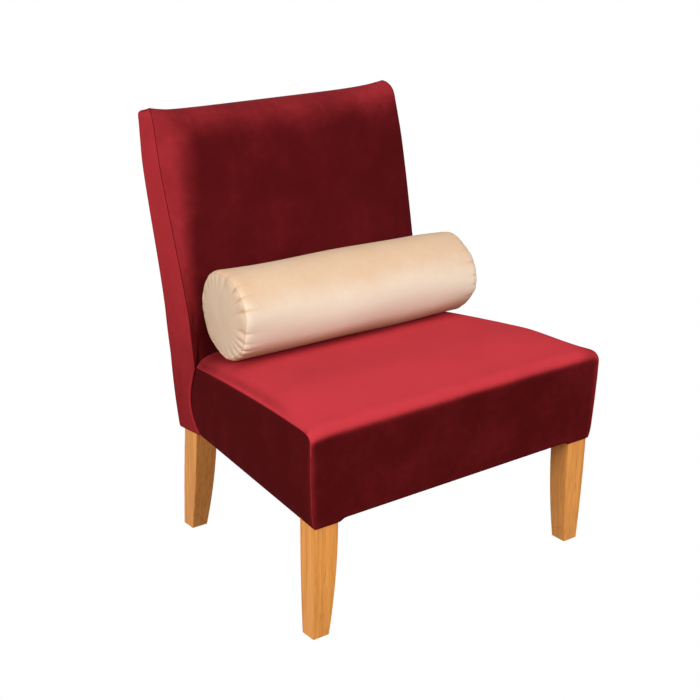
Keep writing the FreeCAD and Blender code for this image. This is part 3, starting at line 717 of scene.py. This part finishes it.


# each velvet's dark and pale colours stand for its shaded and lit colour as well as its nap
red_velvet = velvet("red_cotton_velvet", "#4A0A0D", "#B4333A", tint="#8C2028", sheen=0.08)
cream_velvet = velvet("cream_cotton_velvet", "#CBA888", "#E3D9C4", tint="#FFE8D0", sheen=0.06)
honey_wood = straight_grain("honey_lacquered_oak", "#D48A3C", "#F0A955", line="#AA642A", roughness=0.45,
                            film=0.04)
frame_wood = straight_grain("planed_beech", "#C9A376", "#DDBD92", line="#A98558", roughness=0.7, film=0.0)
webbing = woven("elastic_webbing", "#161515", "#3A3735", thread=2.0, roughness=0.85)
black_cloth = woven("spun_bonded_cloth", "#0E0E0F", "#26262A", thread=1.4, roughness=0.9)
liner_board = speckled("pressed_liner_board", "#8A755A", "#A58F70", grain=3.0, roughness=0.85)
zinc_steel = speckled("zinc_plated_steel", "#A6A49C", "#C9C7BF", grain=1.5, roughness=0.35, metallic=1.0)
glide_plastic = speckled("moulded_polythene", "#161414", "#2A2625", grain=1.0, roughness=0.55)
zip_coil = speckled("dyed_nylon_coil", "#B99468", "#D9BA90", grain=0.8, roughness=0.5)


# Seat and back
def held_inside(piece, outer, inner, rows):
    """Weights that hold a cover's hem and inside still, and the number of each outer loop's first vertex."""
    total = 2 * (grid_across + rows)
    first = len(inner) * total
    ceiling = (grid_across - 1) * (rows - 1)
    count = len(piece.data.vertices)
    held = np.zeros(count)
    held[:first + total] = 1.0
    held[count - 2 * ceiling:count - ceiling] = 1.0
    return held, np.arange(len(outer)) * total + first


def make_seat():
    outer = seat_loops()
    levels = [hem + rise for rise in hem_inside_rises] + [foam_bottom]
    inner = turned_in(outer[0], levels, seat_middle_y)
    piece = cover("seat_upholstery", outer, inner, grid_across, seat_rows, seat_top)
    held, loops = held_inside(piece, outer, inner, seat_rows)
    along = np.arange(seat_rows + 1)
    sides = np.concatenate([grid_across + along, 2 * grid_across + seat_rows + along]) % len(outer[0])
    rear = grid_across + seat_rows + np.arange(grid_across + 1)
    held[loops[:, None] + rear] = 1.0
    held[loops[wall_rows + 1] + sides] = seam_hold
    held[loops[:wall_rows + 2, None] + [0, grid_across]] = seam_hold
    swollen(piece, held, swell=1.5, rise=2.5)
    finished(piece)
    return piece, loops


def make_back():
    outer = back_loops()
    levels = [hem + rise for rise in hem_inside_rises]
    inner = turned_in(outer[0], levels, back_middle_y)
    piece = cover("back_upholstery", outer, inner, grid_across, back_rows, None)
    held, loops = held_inside(piece, outer, inner, back_rows)
    corners = np.array([0, grid_across, grid_across + back_rows, 2 * grid_across + back_rows])
    rear = grid_across + back_rows + np.arange(grid_across + 1)
    held[loops[:, None] + corners] = seam_hold
    held[loops[:back_wall_rows, None] + rear] = 1.0
    swollen(piece, held, swell=1.5, rise=2.0)
    finished(piece)
    return piece, loops


seat, seat_loop_starts = make_seat()
back, back_loop_starts = make_back()


# Bolster
def bolster_ways():
    """Which way the bolster's length and its rear point."""
    axis = np.array([math.cos(bolster_yaw), math.sin(bolster_yaw), 0.0])
    return axis, np.array([-axis[1], axis[0], 0.0])


def puckers(turn, shift):
    """Gathers round an end seam: rounded swells with sharp creases between them, deeper at the front."""
    wide, narrow = pucker_wander
    phase = wide * np.sin(2 * turn + shift) + narrow * np.sin(5 * turn + 2 * shift)
    swell = np.abs(np.sin(pucker_count / 2 * turn + phase)) ** pucker_roundness - pucker_base
    return swell * blended(pucker_rear_share, 1.0, eased(*pucker_spread, np.cos(turn - pucker_front)))


def end_lumps(turn, side):
    """The filling pushes each end seam out of round."""
    broad, small = lump_heights
    return broad * np.sin(4 * turn + side) + small * np.sin(7 * turn + 2 * side)


def fullness(s, turn):
    """The filling lies uneven: the top is plump at the left end and thin at the right."""
    plump = plump_top - plump_fall * s - thin_end * math.exp(-((s - bolster_seam_at) / thin_end_run) ** 2)
    return plump * eased(*plump_spread, np.cos(turn))


def cap_rings(side, turn, low_rear):
    """Rings of one end from its middle to the seam: a bulge with a dent, gathered at the seam."""
    edge = bolster_seam_radius - bolster_squash * low_rear * (side < 0)
    edge = edge + fullness(side * bolster_seam_at, turn) + end_lumps(turn, side)
    rings = []
    for share in cap_ring_shares:
        dent = cap_dent * math.exp(-((share - cap_dent_share) / cap_dent_run) ** 2)
        dent = dent * (1 + np.cos(turn - cap_dent_turn)) / 2
        gather = cap_gather * math.exp(-((share - cap_gather_share) / cap_gather_run) ** 2)
        rise = bolster_bulge * (1 - share ** 3)
        place = side * (bolster_seam_at + rise - dent + gather * puckers(turn, side))
        rings.append((place, share * edge))
    return rings


def tube_ring(s, turn, low_rear):
    """Ring at a place s along the tube: slack cloth, gathered at the end seams, with a bed for the zip."""
    depth = bolster_seam_at - abs(s)
    side = math.copysign(1.0, s)
    shoulder = rolled(depth, bolster_shoulder) / bolster_shoulder
    radius = bolster_radius - bolster_draw - (bolster_radius - bolster_seam_radius) * shoulder
    gather = tube_gather * math.exp(-depth / tube_gather_run) * puckers(turn, side)
    lumps = math.exp(-depth / lump_run) * end_lumps(turn, side)
    slack = sum(height * np.sin(count * turn + s / length) for height, count, length in slack_waves)
    squash = bolster_squash * low_rear * eased(-zip_reach, -bolster_seam_at, s)
    full = radius + gather + lumps + slack + fullness(s, turn) - squash
    at_zip = np.exp(-((turn - zip_turn) * bolster_radius / zip_bed) ** 4)
    at_zip = at_zip * eased(zip_reach + zip_bed_end, zip_reach, abs(s))
    return np.full(bolster_around, s), blended(full, radius - zip_bed_depth, at_zip)


def bolster_rings(turn):
    """Each ring's places along the axis and its radii, from the right end to the left."""
    low_rear = np.exp(-((turn - zip_turn) / bolster_squash_spread) ** 2)
    ends = bolster_seam_at - np.array(end_ring_depths)
    tube = np.concatenate([ends, np.linspace(zip_reach, -zip_reach, tube_rings), -ends[::-1]])
    rings = cap_rings(1, turn, low_rear)
    rings += [tube_ring(s, turn, low_rear) for s in tube]
    return rings + cap_rings(-1, turn, low_rear)[::-1]


def pushed_out(points, other, gap):
    """Moves points that lie inside another piece back to its surface, and gap beyond it."""
    faces = [face.vertices for face in other.data.polygons]
    tree = BVHTree.FromPolygons([vertex.co for vertex in other.data.vertices], faces)
    squarely_behind = -0.7
    for i, point in enumerate(points):
        place, normal, _, distance = tree.find_nearest(Vector(point * MM))
        away = (Vector(point * MM) - place).dot(normal)
        if distance < gap * MM or away < squarely_behind * distance:
            points[i] = np.array(place + normal * gap * MM) / MM
    return points


def make_bolster():
    around = bolster_around
    turn = np.arange(around) / around * 2 * math.pi
    rings = bolster_rings(turn)
    axis, rearward = bolster_ways()
    ways = np.cos(turn)[:, None] * np.array([0, 0, 1.0]) + np.sin(turn)[:, None] * rearward
    points = []
    for along, radius in rings:
        points.extend(bolster_centre + axis * along[:, None] + radius[:, None] * ways)
    faces = []
    for k in range(len(rings) - 1):
        for i in range(around):
            a, b = k * around + i, k * around + (i + 1) % around
            faces.append((a, b, b + around, a + around))
    for k, outward in ((0, axis), (len(rings) - 1, -axis)):
        middle = np.mean(points[k * around:(k + 1) * around], 0)
        points.append(middle + outward * cap_middle_rise)
        for i in range(around):
            faces.append((k * around + i, k * around + (i + 1) % around, len(points) - 1))
    piece = add_mesh("bolster_cushion", points, faces)
    seam_rings = (len(cap_ring_shares), len(rings) - 1 - len(cap_ring_shares))
    held = np.zeros(len(points))
    for ring in seam_rings:
        held[ring * around:(ring + 1) * around] = bolster_seam_hold
    swollen(piece, held, swell=1.0, rise=2.0)
    points = coordinates(piece.data)
    for other in (seat, back):
        points = pushed_out(points, other, bolster_gap)
    set_coordinates(piece.data, points)
    finished(piece)
    return piece, seam_rings


bolster, bolster_seam_rings = make_bolster()


# Light and nap: a level from 0, dark, to 1, pale, that sets the velvet's colour. It holds painted light and
# shade, pale where light falls and dark in shade, creases and corners, together with how far the pile is
# brushed over. Runs are millimetres.
def seat_light_and_nap(p, n):
    """Painted shade on the walls and painted light on the top, which has painted shade towards its rear
    corners and its front right one, and a painted highlight up the front corners.
    """
    wall_light, side_loss, side_facing = 0.21, 0.05, (0.6, 0.9)
    top_light, top_facing, side_lift, front_lift = 0.61, (0.36, 1.08), 0.37, 0.42
    # nook and corner: painted shade on the top at its rear corners and at its front right corner
    nook_loss, nook_run, corner_loss, corner_run = 0.3, (170.0, 10.0), 0.5, (60.0, 15.0)
    edge_highlight, edge_run = 0.2, 9.0
    fold_light, fold_run, fold_top = 0.035, 10.0, 340.0
    x, y, z = p.T
    right, rear, up = n.T
    upward = up + side_lift * np.abs(right) + front_lift * np.clip(-rear, 0.0, 1.0)
    top = eased(*top_facing, upward)
    top = top - corner_loss * top * eased(*corner_run, np.hypot(x - seat_top_half[0], y - seat_front))
    nook = eased(*nook_run, np.hypot(np.abs(x) - seat_top_half[1], y - tuck_y))
    # folds: painted light and shade in stripes down the side walls
    folds = fold_light * np.sin(y / fold_run) * eased(fold_top, hem, z)
    side = (folds - side_loss) * eased(*side_facing, np.abs(right))
    # edge: painted highlight up the front corners
    edge = edge_highlight * np.exp(-(np.hypot(seat_half(y, z) - np.abs(x), y - seat_front) / edge_run) ** 2)
    return wall_light + side + (top_light - nook_loss * nook) * top + edge


def back_light_and_nap(p, n):
    """Painted shade on the front, painted light along its left and top edges, and painted light on the sides
    with a painted highlight as a rim at the seat.
    """
    front_light, low_left_light, high_left_light = 0.19, 0.18, 0.11
    low_left, high_left = (390.0, 480.0), (450.0, 620.0)
    left_run, left_fade, left_widening, widening = 38.0, 0.7, 60.0, (520.0, 800.0)
    top_light, top_run, corner_light, corner_run = 0.2, (70.0, 5.0), 0.1, (110.0, 20.0)
    side_light, side_gain, side_gain_end, side_facing = 0.49, 0.22, 600.0, (0.75, 0.95)
    rim_highlight, rim_run, rim_end = 0.3, 4.0, 330.0
    x, y, z = p.T
    from_top = back_top(x) - z
    # left: painted light along the front's left edge
    reach = left_run + left_widening * eased(*widening, z)
    strength = low_left_light * eased(*low_left, z) + high_left_light * eased(*high_left, z)
    left = strength * np.clip((reach - x - back_half(z)) / (left_fade * reach), 0.0, 1.0)
    # top and corner: painted light along the top edge and at the top right corner
    corner = eased(*corner_run, np.hypot(back_half(z) - x, from_top))
    front = front_light + np.maximum(left, top_light * eased(*top_run, from_top) + corner_light * corner)
    # rim: painted highlight on the sides along their front edge, above the seat
    rim = np.exp(-((y - back_face(x, z)) / rim_run) ** 2) * eased(seat_edge_height[1], rim_end, z)
    side = side_light + side_gain * eased(hem, side_gain_end, z) + rim_highlight * rim
    return blended(front, side, eased(*side_facing, np.abs(n[:, 0])))


def bolster_light_and_nap(p, n):
    """A tube with painted light down its front and painted shade below, plain ends, and painted shade in the
    creases at the seams.
    """
    cap_light, tube_light = 0.48, 0.3
    front_gain, front_facing, below_loss, below_facing = 0.5, (0.85, -0.1), 0.7, (-0.3, -0.85)
    crease_loss, crease_sharpness, crease_run, cap_edge = 0.8, 1.6, 11.0, 2.0
    axis, rearward = bolster_ways()
    p = p - bolster_centre
    along, behind, above = p @ axis, p @ rearward, p[:, 2]
    inward = bolster_seam_at - np.abs(along)
    from_seam = np.hypot(inward, bolster_seam_radius - np.hypot(behind, above))
    # crease: painted shade in the creases between the seams' puckers
    crease = np.clip(-crease_sharpness * puckers(np.arctan2(behind, above), np.sign(along)), 0.0, 1.0)
    # painted light down the front of the tube, painted shade below it
    tube = tube_light + front_gain * eased(*front_facing, n[:, 2]) - below_loss * eased(*below_facing, n[:, 2])
    light_and_nap = blended(tube, cap_light, eased(cap_edge, -cap_edge, inward))
    return light_and_nap - crease_loss * crease * np.exp(-from_seam / crease_run)


# each piece gets its painted light and shade together with its nap
for piece, light_and_nap in ((seat, seat_light_and_nap), (back, back_light_and_nap), (bolster, bolster_light_and_nap)):
    paint_light_and_nap(piece, light_and_nap(coordinates(piece.data), normals(piece.data)))


# one even level of painted light and nap over a whole piece
def paint_evenly(piece, light_and_nap):
    paint_light_and_nap(piece, np.full(len(piece.data.vertices), light_and_nap))


# Outside back: the panel that closes the rear, laid on last and slip-stitched round its edge
def make_outside_back():
    across, rows = panel_grid
    points, faces = [], []
    for j in range(rows + 1):
        for i in range(across + 1):
            x = blended(-panel_half, panel_half, i / across)
            z = blended(hem + panel_hem_gap, panel_top, j / rows)
            edge = min(panel_half - abs(x), panel_top - z)
            out = panel_edge_rise * eased(*panel_edge_run, edge) + panel_bow * eased(0, panel_bow_run, edge)
            points.append((x, float(back_rear(z) - panel_edge_depth + out), z))
    for j in range(rows):
        for i in range(across):
            a = j * (across + 1) + i
            faces.append((a, a + 1, a + across + 2, a + across + 1))
    piece = add_mesh("outside_back", points, faces)
    finished(piece)
    paint_evenly(piece, 0.28)
    return piece


outside_back = make_outside_back()


# Dust cover: thin cloth stapled under the rails, with a slight sag
def make_dust_sheet():
    low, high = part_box("dust_cover")
    corners = {(round(v.co.x, 5), round(v.co.y, 5)) for v in nodes["dust_cover"].data.vertices}
    outline = sorted(corners, key=lambda corner: math.atan2(corner[1] - dust_middle_y * MM, corner[0]))
    bm = bmesh.new()
    bm.faces.new([bm.verts.new((x, y, high.z)) for x, y in outline])
    bmesh.ops.triangulate(bm, faces=bm.faces)
    for _ in range(dust_divisions):
        long_edges = [edge for edge in bm.edges if edge.calc_length() > dust_edge * MM]
        bmesh.ops.subdivide_edges(bm, edges=long_edges, cuts=2, use_grid_fill=True)
        bmesh.ops.triangulate(bm, faces=bm.faces)
    border = [Vector((x, y, 0)) for x, y in outline]
    for v in bm.verts:
        flat = Vector((v.co.x, v.co.y, 0))
        reach = 1.0
        for a, b in zip(border, border[1:] + border[:1]):
            t = max(0.0, min(1.0, (flat - a).dot(b - a) / (b - a).length_squared))
            reach = min(reach, (flat - (a + (b - a) * t)).length)
        ripple = dust_ripple
        for place, rate in zip(flat, dust_ripple_rate):
            ripple *= math.sin(place / MM * rate)
        sag = (dust_sag + ripple) * float(eased(0, dust_sag_run, reach / MM))
        v.co.z = low.z + (dust_lift - sag) * MM
    mesh = bpy.data.meshes.new("dust_sheet")
    bm.to_mesh(mesh)
    bm.free()
    mesh.shade_smooth()
    return add_object("dust_sheet", mesh), outline, sum(p.area for p in mesh.polygons)


dust_sheet, dust_outline, dust_area = make_dust_sheet()


# Seams, stitches, staples and zip teeth follow lines of points
def line_piece(name, runs, facing):
    """A mesh of lines: each run is a list of points, with the way that its face looks at each point."""
    mesh = bpy.data.meshes.new(name)
    points, edges, ways = [], [], []
    for run, way in zip(runs, facing):
        start = len(points)
        points += [tuple(p * MM) for p in np.asarray(run)]
        ways += [tuple(w) for w in np.asarray(way)]
        edges += [(start + i, start + i + 1) for i in range(len(run) - 1)]
    mesh.from_pydata(points, edges, [])
    layer = mesh.attributes.new("facing", "FLOAT_VECTOR", "POINT")
    layer.data.foreach_set("vector", np.asarray(ways, np.float32).ravel())
    return add_object(name, mesh)


def sized_tree(name, sizes):
    """A new Geometry Nodes tree with inputs for its sizes and its finish."""
    tree = bpy.data.node_groups.new(name, "GeometryNodeTree")
    tree.interface.new_socket("Geometry", in_out="INPUT", socket_type="NodeSocketGeometry")
    for size in sizes:
        tree.interface.new_socket(size, in_out="INPUT", socket_type="NodeSocketFloat")
    tree.interface.new_socket("Finish", in_out="INPUT", socket_type="NodeSocketMaterial")
    tree.interface.new_socket("Geometry", in_out="OUTPUT", socket_type="NodeSocketGeometry")
    return tree, add(tree, "NodeGroupInput").outputs


def seam_tree():
    """A thin ridge along each line, beaded at the stitch length."""
    tree, given = sized_tree("sewn_seam", ("Thickness", "Stitch"))
    line = add(tree, "GeometryNodeMeshToCurve", {"Mesh": given["Geometry"]})
    even = add(tree, "GeometryNodeResampleCurve", {"Curve": line.outputs[0], "Length": given["Stitch"]},
               mode="LENGTH")
    place = add(tree, "GeometryNodeInputIndex")
    beat = add(tree, "ShaderNodeMath", {0: place.outputs[0], 1: 2.0}, operation="MODULO")
    bead = add(tree, "ShaderNodeMath", {0: beat.outputs[0], 1: 0.25, 2: 0.75}, operation="MULTIPLY_ADD")
    profile = add(tree, "GeometryNodeCurvePrimitiveCircle", {"Resolution": 8, "Radius": given["Thickness"]})
    sized = add(tree, "GeometryNodeSetCurveRadius", {"Curve": even.outputs[0], "Radius": bead.outputs[0]})
    tube = add(tree, "GeometryNodeCurveToMesh",
               {"Curve": sized.outputs[0], "Profile Curve": profile.outputs[0], "Fill Caps": True})
    real = add(tree, "GeometryNodeRealizeInstances", {0: tube.outputs[0]})
    coated = add(tree, "GeometryNodeSetMaterial", {"Geometry": real.outputs[0], "Material": given["Finish"]})
    add(tree, "NodeGroupOutput", {0: coated.outputs[0]})
    return tree


def row_tree(name, rounded):
    """Small pieces in a row along each line, turned along it and facing the way that its points say."""
    tree, given = sized_tree(name, ("Spacing", "Length", "Width", "Height"))
    line = add(tree, "GeometryNodeMeshToCurve", {"Mesh": given["Geometry"]})
    even = add(tree, "GeometryNodeResampleCurve", {"Curve": line.outputs[0], "Length": given["Spacing"]},
               mode="LENGTH")
    spots = add(tree, "GeometryNodeCurveToPoints", {"Curve": even.outputs[0]}, mode="EVALUATED")
    way = add(tree, "GeometryNodeInputNamedAttribute", {"Name": "facing"}, data_type="FLOAT_VECTOR")
    upright = add(tree, "FunctionNodeAlignRotationToVector", {"Vector": way.outputs[0]}, axis="Z")
    turned = add(tree, "FunctionNodeAlignRotationToVector",
                 {"Rotation": upright.outputs[0], "Vector": spots.outputs["Tangent"]},
                 axis="X", pivot_axis="Z")
    if rounded:
        shape = add(tree, "GeometryNodeMeshIcoSphere", {"Radius": 0.5, "Subdivisions": 2})
    else:
        shape = add(tree, "GeometryNodeMeshCube", {"Size": (1.0, 1.0, 1.0)})
    size = add(tree, "ShaderNodeCombineXYZ", {0: given["Length"], 1: given["Width"], 2: given["Height"]})
    row = add(tree, "GeometryNodeInstanceOnPoints",
              {"Points": spots.outputs["Points"], "Instance": shape.outputs[0],
               "Rotation": turned.outputs[0], "Scale": size.outputs[0]})
    real = add(tree, "GeometryNodeRealizeInstances", {0: row.outputs[0]})
    coated = add(tree, "GeometryNodeSetMaterial", {"Geometry": real.outputs[0], "Material": given["Finish"]})
    add(tree, "NodeGroupOutput", {0: coated.outputs[0]})
    return tree


def made_real(piece, tree, finish, **sizes):
    """Runs the tree on the piece with its sizes in millimetres, and keeps the result as a plain mesh."""
    modifier = piece.modifiers.new("made", "NODES")
    modifier.node_group = tree
    for item in tree.interface.items_tree:
        if item.in_out == "INPUT" and item.name in sizes:
            modifier[item.identifier] = sizes[item.name] * MM
        elif item.name == "Finish":
            modifier[item.identifier] = finish
    applied(piece, modifier)
    coat(piece, finish)
    return piece


seam = seam_tree()
tufts = row_tree("slip_stitches", True)
bars = row_tree("bars_in_a_row", False)


def sewn(name, piece, lines, lift, finish, thickness):
    """A seam along each line of a piece's vertices, lifted off its surface."""
    points, ways = coordinates(piece.data), normals(piece.data)
    runs = [points[line] + ways[line] * lift for line in lines]
    sewn_line = line_piece(name, runs, [ways[line] for line in lines])
    return made_real(sewn_line, seam, finish, Thickness=thickness, Stitch=stitch_length)


def seat_seam_lines():
    """Up each front corner and along the side's edge to the back."""
    along = np.arange(seat_rows + 1)
    left = -along % (2 * (grid_across + seat_rows))
    lines = []
    for corner, side in ((0, left), (grid_across, grid_across + along)):
        up = seat_loop_starts[:wall_rows + 1] + corner
        lines.append(np.concatenate([up, seat_loop_starts[wall_rows + 1] + side]))
    return lines


back_seam_lines = [back_loop_starts + column for column in (0, grid_across)]
ring_closed = np.append(np.arange(bolster_around), 0)
bolster_seam_lines = [ring * bolster_around + ring_closed for ring in bolster_seam_rings]
seat_seams = sewn("seat_seams", seat, seat_seam_lines(), seat_seam_lift, red_velvet, thickness=0.8)
back_seams = sewn("back_seams", back, back_seam_lines, back_seam_lift, red_velvet, thickness=0.6)
bolster_seams = sewn("bolster_seams", bolster, bolster_seam_lines, bolster_seam_lift, cream_velvet,
                     thickness=0.8)
# painted shadow along the bolster's seams
paint_evenly(bolster_seams, -0.2)
# painted highlight along the seat's seams, brighter up the top edges; along the back's seams a painted
# highlight below the seat's edge and painted shade above it
for piece, light_below, light_above in ((seat_seams, 0.5, 0.8), (back_seams, 0.8, 0.0)):
    above = eased(seat_edge_height[1] - seam_light_run, seat_edge_height[1], coordinates(piece.data)[:, 2])
    paint_light_and_nap(piece, blended(light_below, light_above, above))


def panel_stitch_runs():
    """Up the left edge, along the top and down the right edge."""
    across, rows = panel_stitch_points
    above_hem, below_top = panel_stitch_ends
    z = np.linspace(hem + above_hem, panel_top - below_top, rows)
    x = np.linspace(-panel_half, panel_half, across)
    left = np.stack([np.full(rows, -panel_half), back_rear(z) - panel_stitch_depth, z], 1)
    top_y = float(back_rear(panel_top)) - panel_stitch_depth
    top = np.stack([x, np.full(across, top_y), np.full(across, panel_top)], 1)
    runs = [left, top, left[::-1] * [-1, 1, 1]]
    return runs, [np.tile([0.0, 1.0, 0.0], (len(run), 1)) for run in runs]


panel_stitches = made_real(line_piece("panel_stitches", *panel_stitch_runs()), tufts, red_velvet,
                           Spacing=9.0, Length=4.5, Width=1.0, Height=1.0)
paint_evenly(panel_stitches, 0.1)


def staple_runs():
    """A row inside each long edge of the dust cover."""
    count = staple_row_points
    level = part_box("dust_cover")[0].z / MM - staple_depth
    corners = [np.array([x / MM, y / MM]) for x, y in dust_outline]
    runs = []
    for a, b in zip(corners, corners[1:] + corners[:1]):
        length = np.linalg.norm(b - a)
        if length < staple_shortest_row:
            continue
        inward = np.array([-(b - a)[1], (b - a)[0]]) / length
        end = staple_end_gap / length
        row = [a + (b - a) * t + inward * staple_inset for t in np.linspace(end, 1 - end, count)]
        runs.append(np.column_stack([row, np.full(count, level)]))
    return runs, [np.tile([0.0, 0.0, -1.0], (count, 1))] * len(runs)


staples = made_real(line_piece("dust_cover_staples", *staple_runs()), bars, zinc_steel,
                    Spacing=26.0, Length=9.0, Width=1.1, Height=0.6)


def zip_runs():
    axis, rearward = bolster_ways()
    way = math.cos(zip_turn) * np.array([0, 0, 1.0]) + math.sin(zip_turn) * rearward
    out = way * (bolster_radius + zip_tape_top + zip_tooth_middle)
    line = [bolster_centre + axis * s + out for s in (-zip_reach, zip_reach)]
    return [line], [np.tile(way, (2, 1))]


zip_teeth = made_real(line_piece("zip_teeth", *zip_runs()), bars, zip_coil,
                      Spacing=2.4, Length=1.4, Width=5.0, Height=1.8)


# Finishes on the CAD nodes that show as they are, and on the padded pieces and sheets
finishes = {
    honey_wood: ["front_leg_left", "front_leg_right", "rear_stile_left", "rear_stile_right"],
    frame_wood: ["front_rail", "rear_rail", "side_rail_left", "side_rail_right", "back_top_rail",
                 "back_tack_rail", "corner_blocks", "seat_frame_dowels", "back_frame_dowels"],
    webbing: ["seat_belts_long", "seat_belts_cross", "back_belts"],
    black_cloth: ["platform_cloth"],
    liner_board: ["back_liner"],
    zinc_steel: ["corner_block_screws"],
    glide_plastic: ["leg_glides"],
    zip_coil: ["bolster_zip_tape", "zip_slider"],
}
for finish, names in finishes.items():
    for name in names:
        coat(nodes[name], finish)
for piece in (seat, back, outside_back):
    coat(piece, red_velvet)
coat(bolster, cream_velvet)
coat(dust_sheet, black_cloth)

# What each piece stands for and rides on
for piece, body, slot, stands_for in (
        (seat, "chair", "red_velvet", ["seat_cover", "seat_wadding", "seat_foam"]),
        (back, "chair", "red_velvet", ["back_cover", "back_wadding", "back_foam"]),
        (outside_back, "chair", "red_velvet", ["outside_back_panel"]),
        (bolster, "bolster", "cream_velvet", ["bolster_cover", "bolster_filling"]),
        (dust_sheet, "chair", "black_cloth", ["dust_cover"]),
        (zip_teeth, "bolster", "zip", ["bolster_zip_coil"]),
        (seat_seams, "chair", "red_velvet", []),
        (back_seams, "chair", "red_velvet", []),
        (panel_stitches, "chair", "red_velvet", []),
        (staples, "chair", "steel", []),
        (bolster_seams, "bolster", "cream_velvet", [])):
    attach(piece, body)
    if stands_for:
        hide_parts(*stands_for)


# Floor, light and camera
white = (1, 1, 1, 1)


def seen_directly(tree):
    """1 for what the eye sees, also in metal and through glass; 0 for the light that falls on the chair."""
    path = add(tree, "ShaderNodeLightPath").outputs
    seen = path["Is Camera Ray"]
    for kind in ("Is Glossy Ray", "Is Transmission Ray"):
        seen = add(tree, "ShaderNodeMath", {0: seen, 1: path[kind]}, operation="MAXIMUM").outputs[0]
    return seen


def make_floor():
    """Matt paint: the eye, metal and glass see plain white, and a warm light goes back to the chair."""
    half = 30.0
    bm = bmesh.new()
    bmesh.ops.create_grid(bm, x_segments=2, y_segments=2, size=half)
    mesh = bpy.data.meshes.new("floor")
    bm.to_mesh(mesh)
    bm.free()
    floor = add_object("floor", mesh)
    material, tree, shader, _ = new_material("matt_studio_floor")
    shader.inputs["Base Color"].default_value = colour("#845A3E")
    shader.inputs["Roughness"].default_value = 1.0
    shader.inputs["Specular IOR Level"].default_value = 0.0
    plain = add(tree, "ShaderNodeEmission", {"Color": white, "Strength": 1.0})
    mixed = add(tree, "ShaderNodeMixShader",
                {0: seen_directly(tree), 1: shader.outputs[0], 2: plain.outputs[0]})
    tree.links.new(mixed.outputs[0], tree.nodes["Material Output"].inputs[0])
    mesh.materials.append(material)


def make_world():
    """Soft light from all round; the eye, metal and glass see plain white."""
    room_light = 0.26
    world = bpy.data.worlds.new("studio")
    bpy.context.scene.world = world
    world.use_nodes = True
    tree = world.node_tree
    soft = add(tree, "ShaderNodeBackground", {"Color": white, "Strength": room_light})
    plain = add(tree, "ShaderNodeBackground", {"Color": white, "Strength": 1.0})
    mixed = add(tree, "ShaderNodeMixShader",
                {0: seen_directly(tree), 1: soft.outputs[0], 2: plain.outputs[0]})
    tree.links.new(mixed.outputs[0], tree.nodes["World Output"].inputs[0])


def add_lamp(name, place, size, power):
    """Round lamp, aimed at the middle of the chair."""
    aim = Vector((0, 0, 0.4))
    data = bpy.data.lights.new(name, "AREA")
    data.shape = "DISK"
    data.size = size
    data.energy = power
    lamp = add_object(name, data)
    lamp.location = place
    lamp.rotation_euler = (aim - Vector(place)).to_track_quat("-Z", "Y").to_euler()


def make_camera():
    """Camera solved from the chair's outline in the picture."""
    place = Vector((-1.4910, -1.9508, 1.2779))
    forward = Vector((0.56487, 0.7488, -0.34673)).normalized()
    roll = math.radians(0.37)
    right = forward.cross(Vector((0, 0, 1))).normalized()
    up = right.cross(forward)
    across = right * math.cos(roll) + up * math.sin(roll)
    upward = up * math.cos(roll) - right * math.sin(roll)
    data = bpy.data.cameras.new("camera")
    data.sensor_width = 36.0
    data.lens = 71.51
    camera = add_object("camera", data)
    turn = Matrix((across, upward, -forward)).transposed().to_4x4()
    camera.matrix_world = Matrix.Translation(place) @ turn
    bpy.context.scene.camera = camera


make_floor()
make_world()
add_lamp("key", (0.1, -2.85, 2.0), size=1.6, power=58)
add_lamp("left", (-2.8, -0.8, 1.5), size=1.8, power=68)
add_lamp("top", (0.2, -0.3, 3.0), size=2.4, power=28)
add_lamp("right", (2.4, -1.6, 1.4), size=2.0, power=8)
make_camera()
bpy.context.scene.view_settings.view_transform = "Standard"
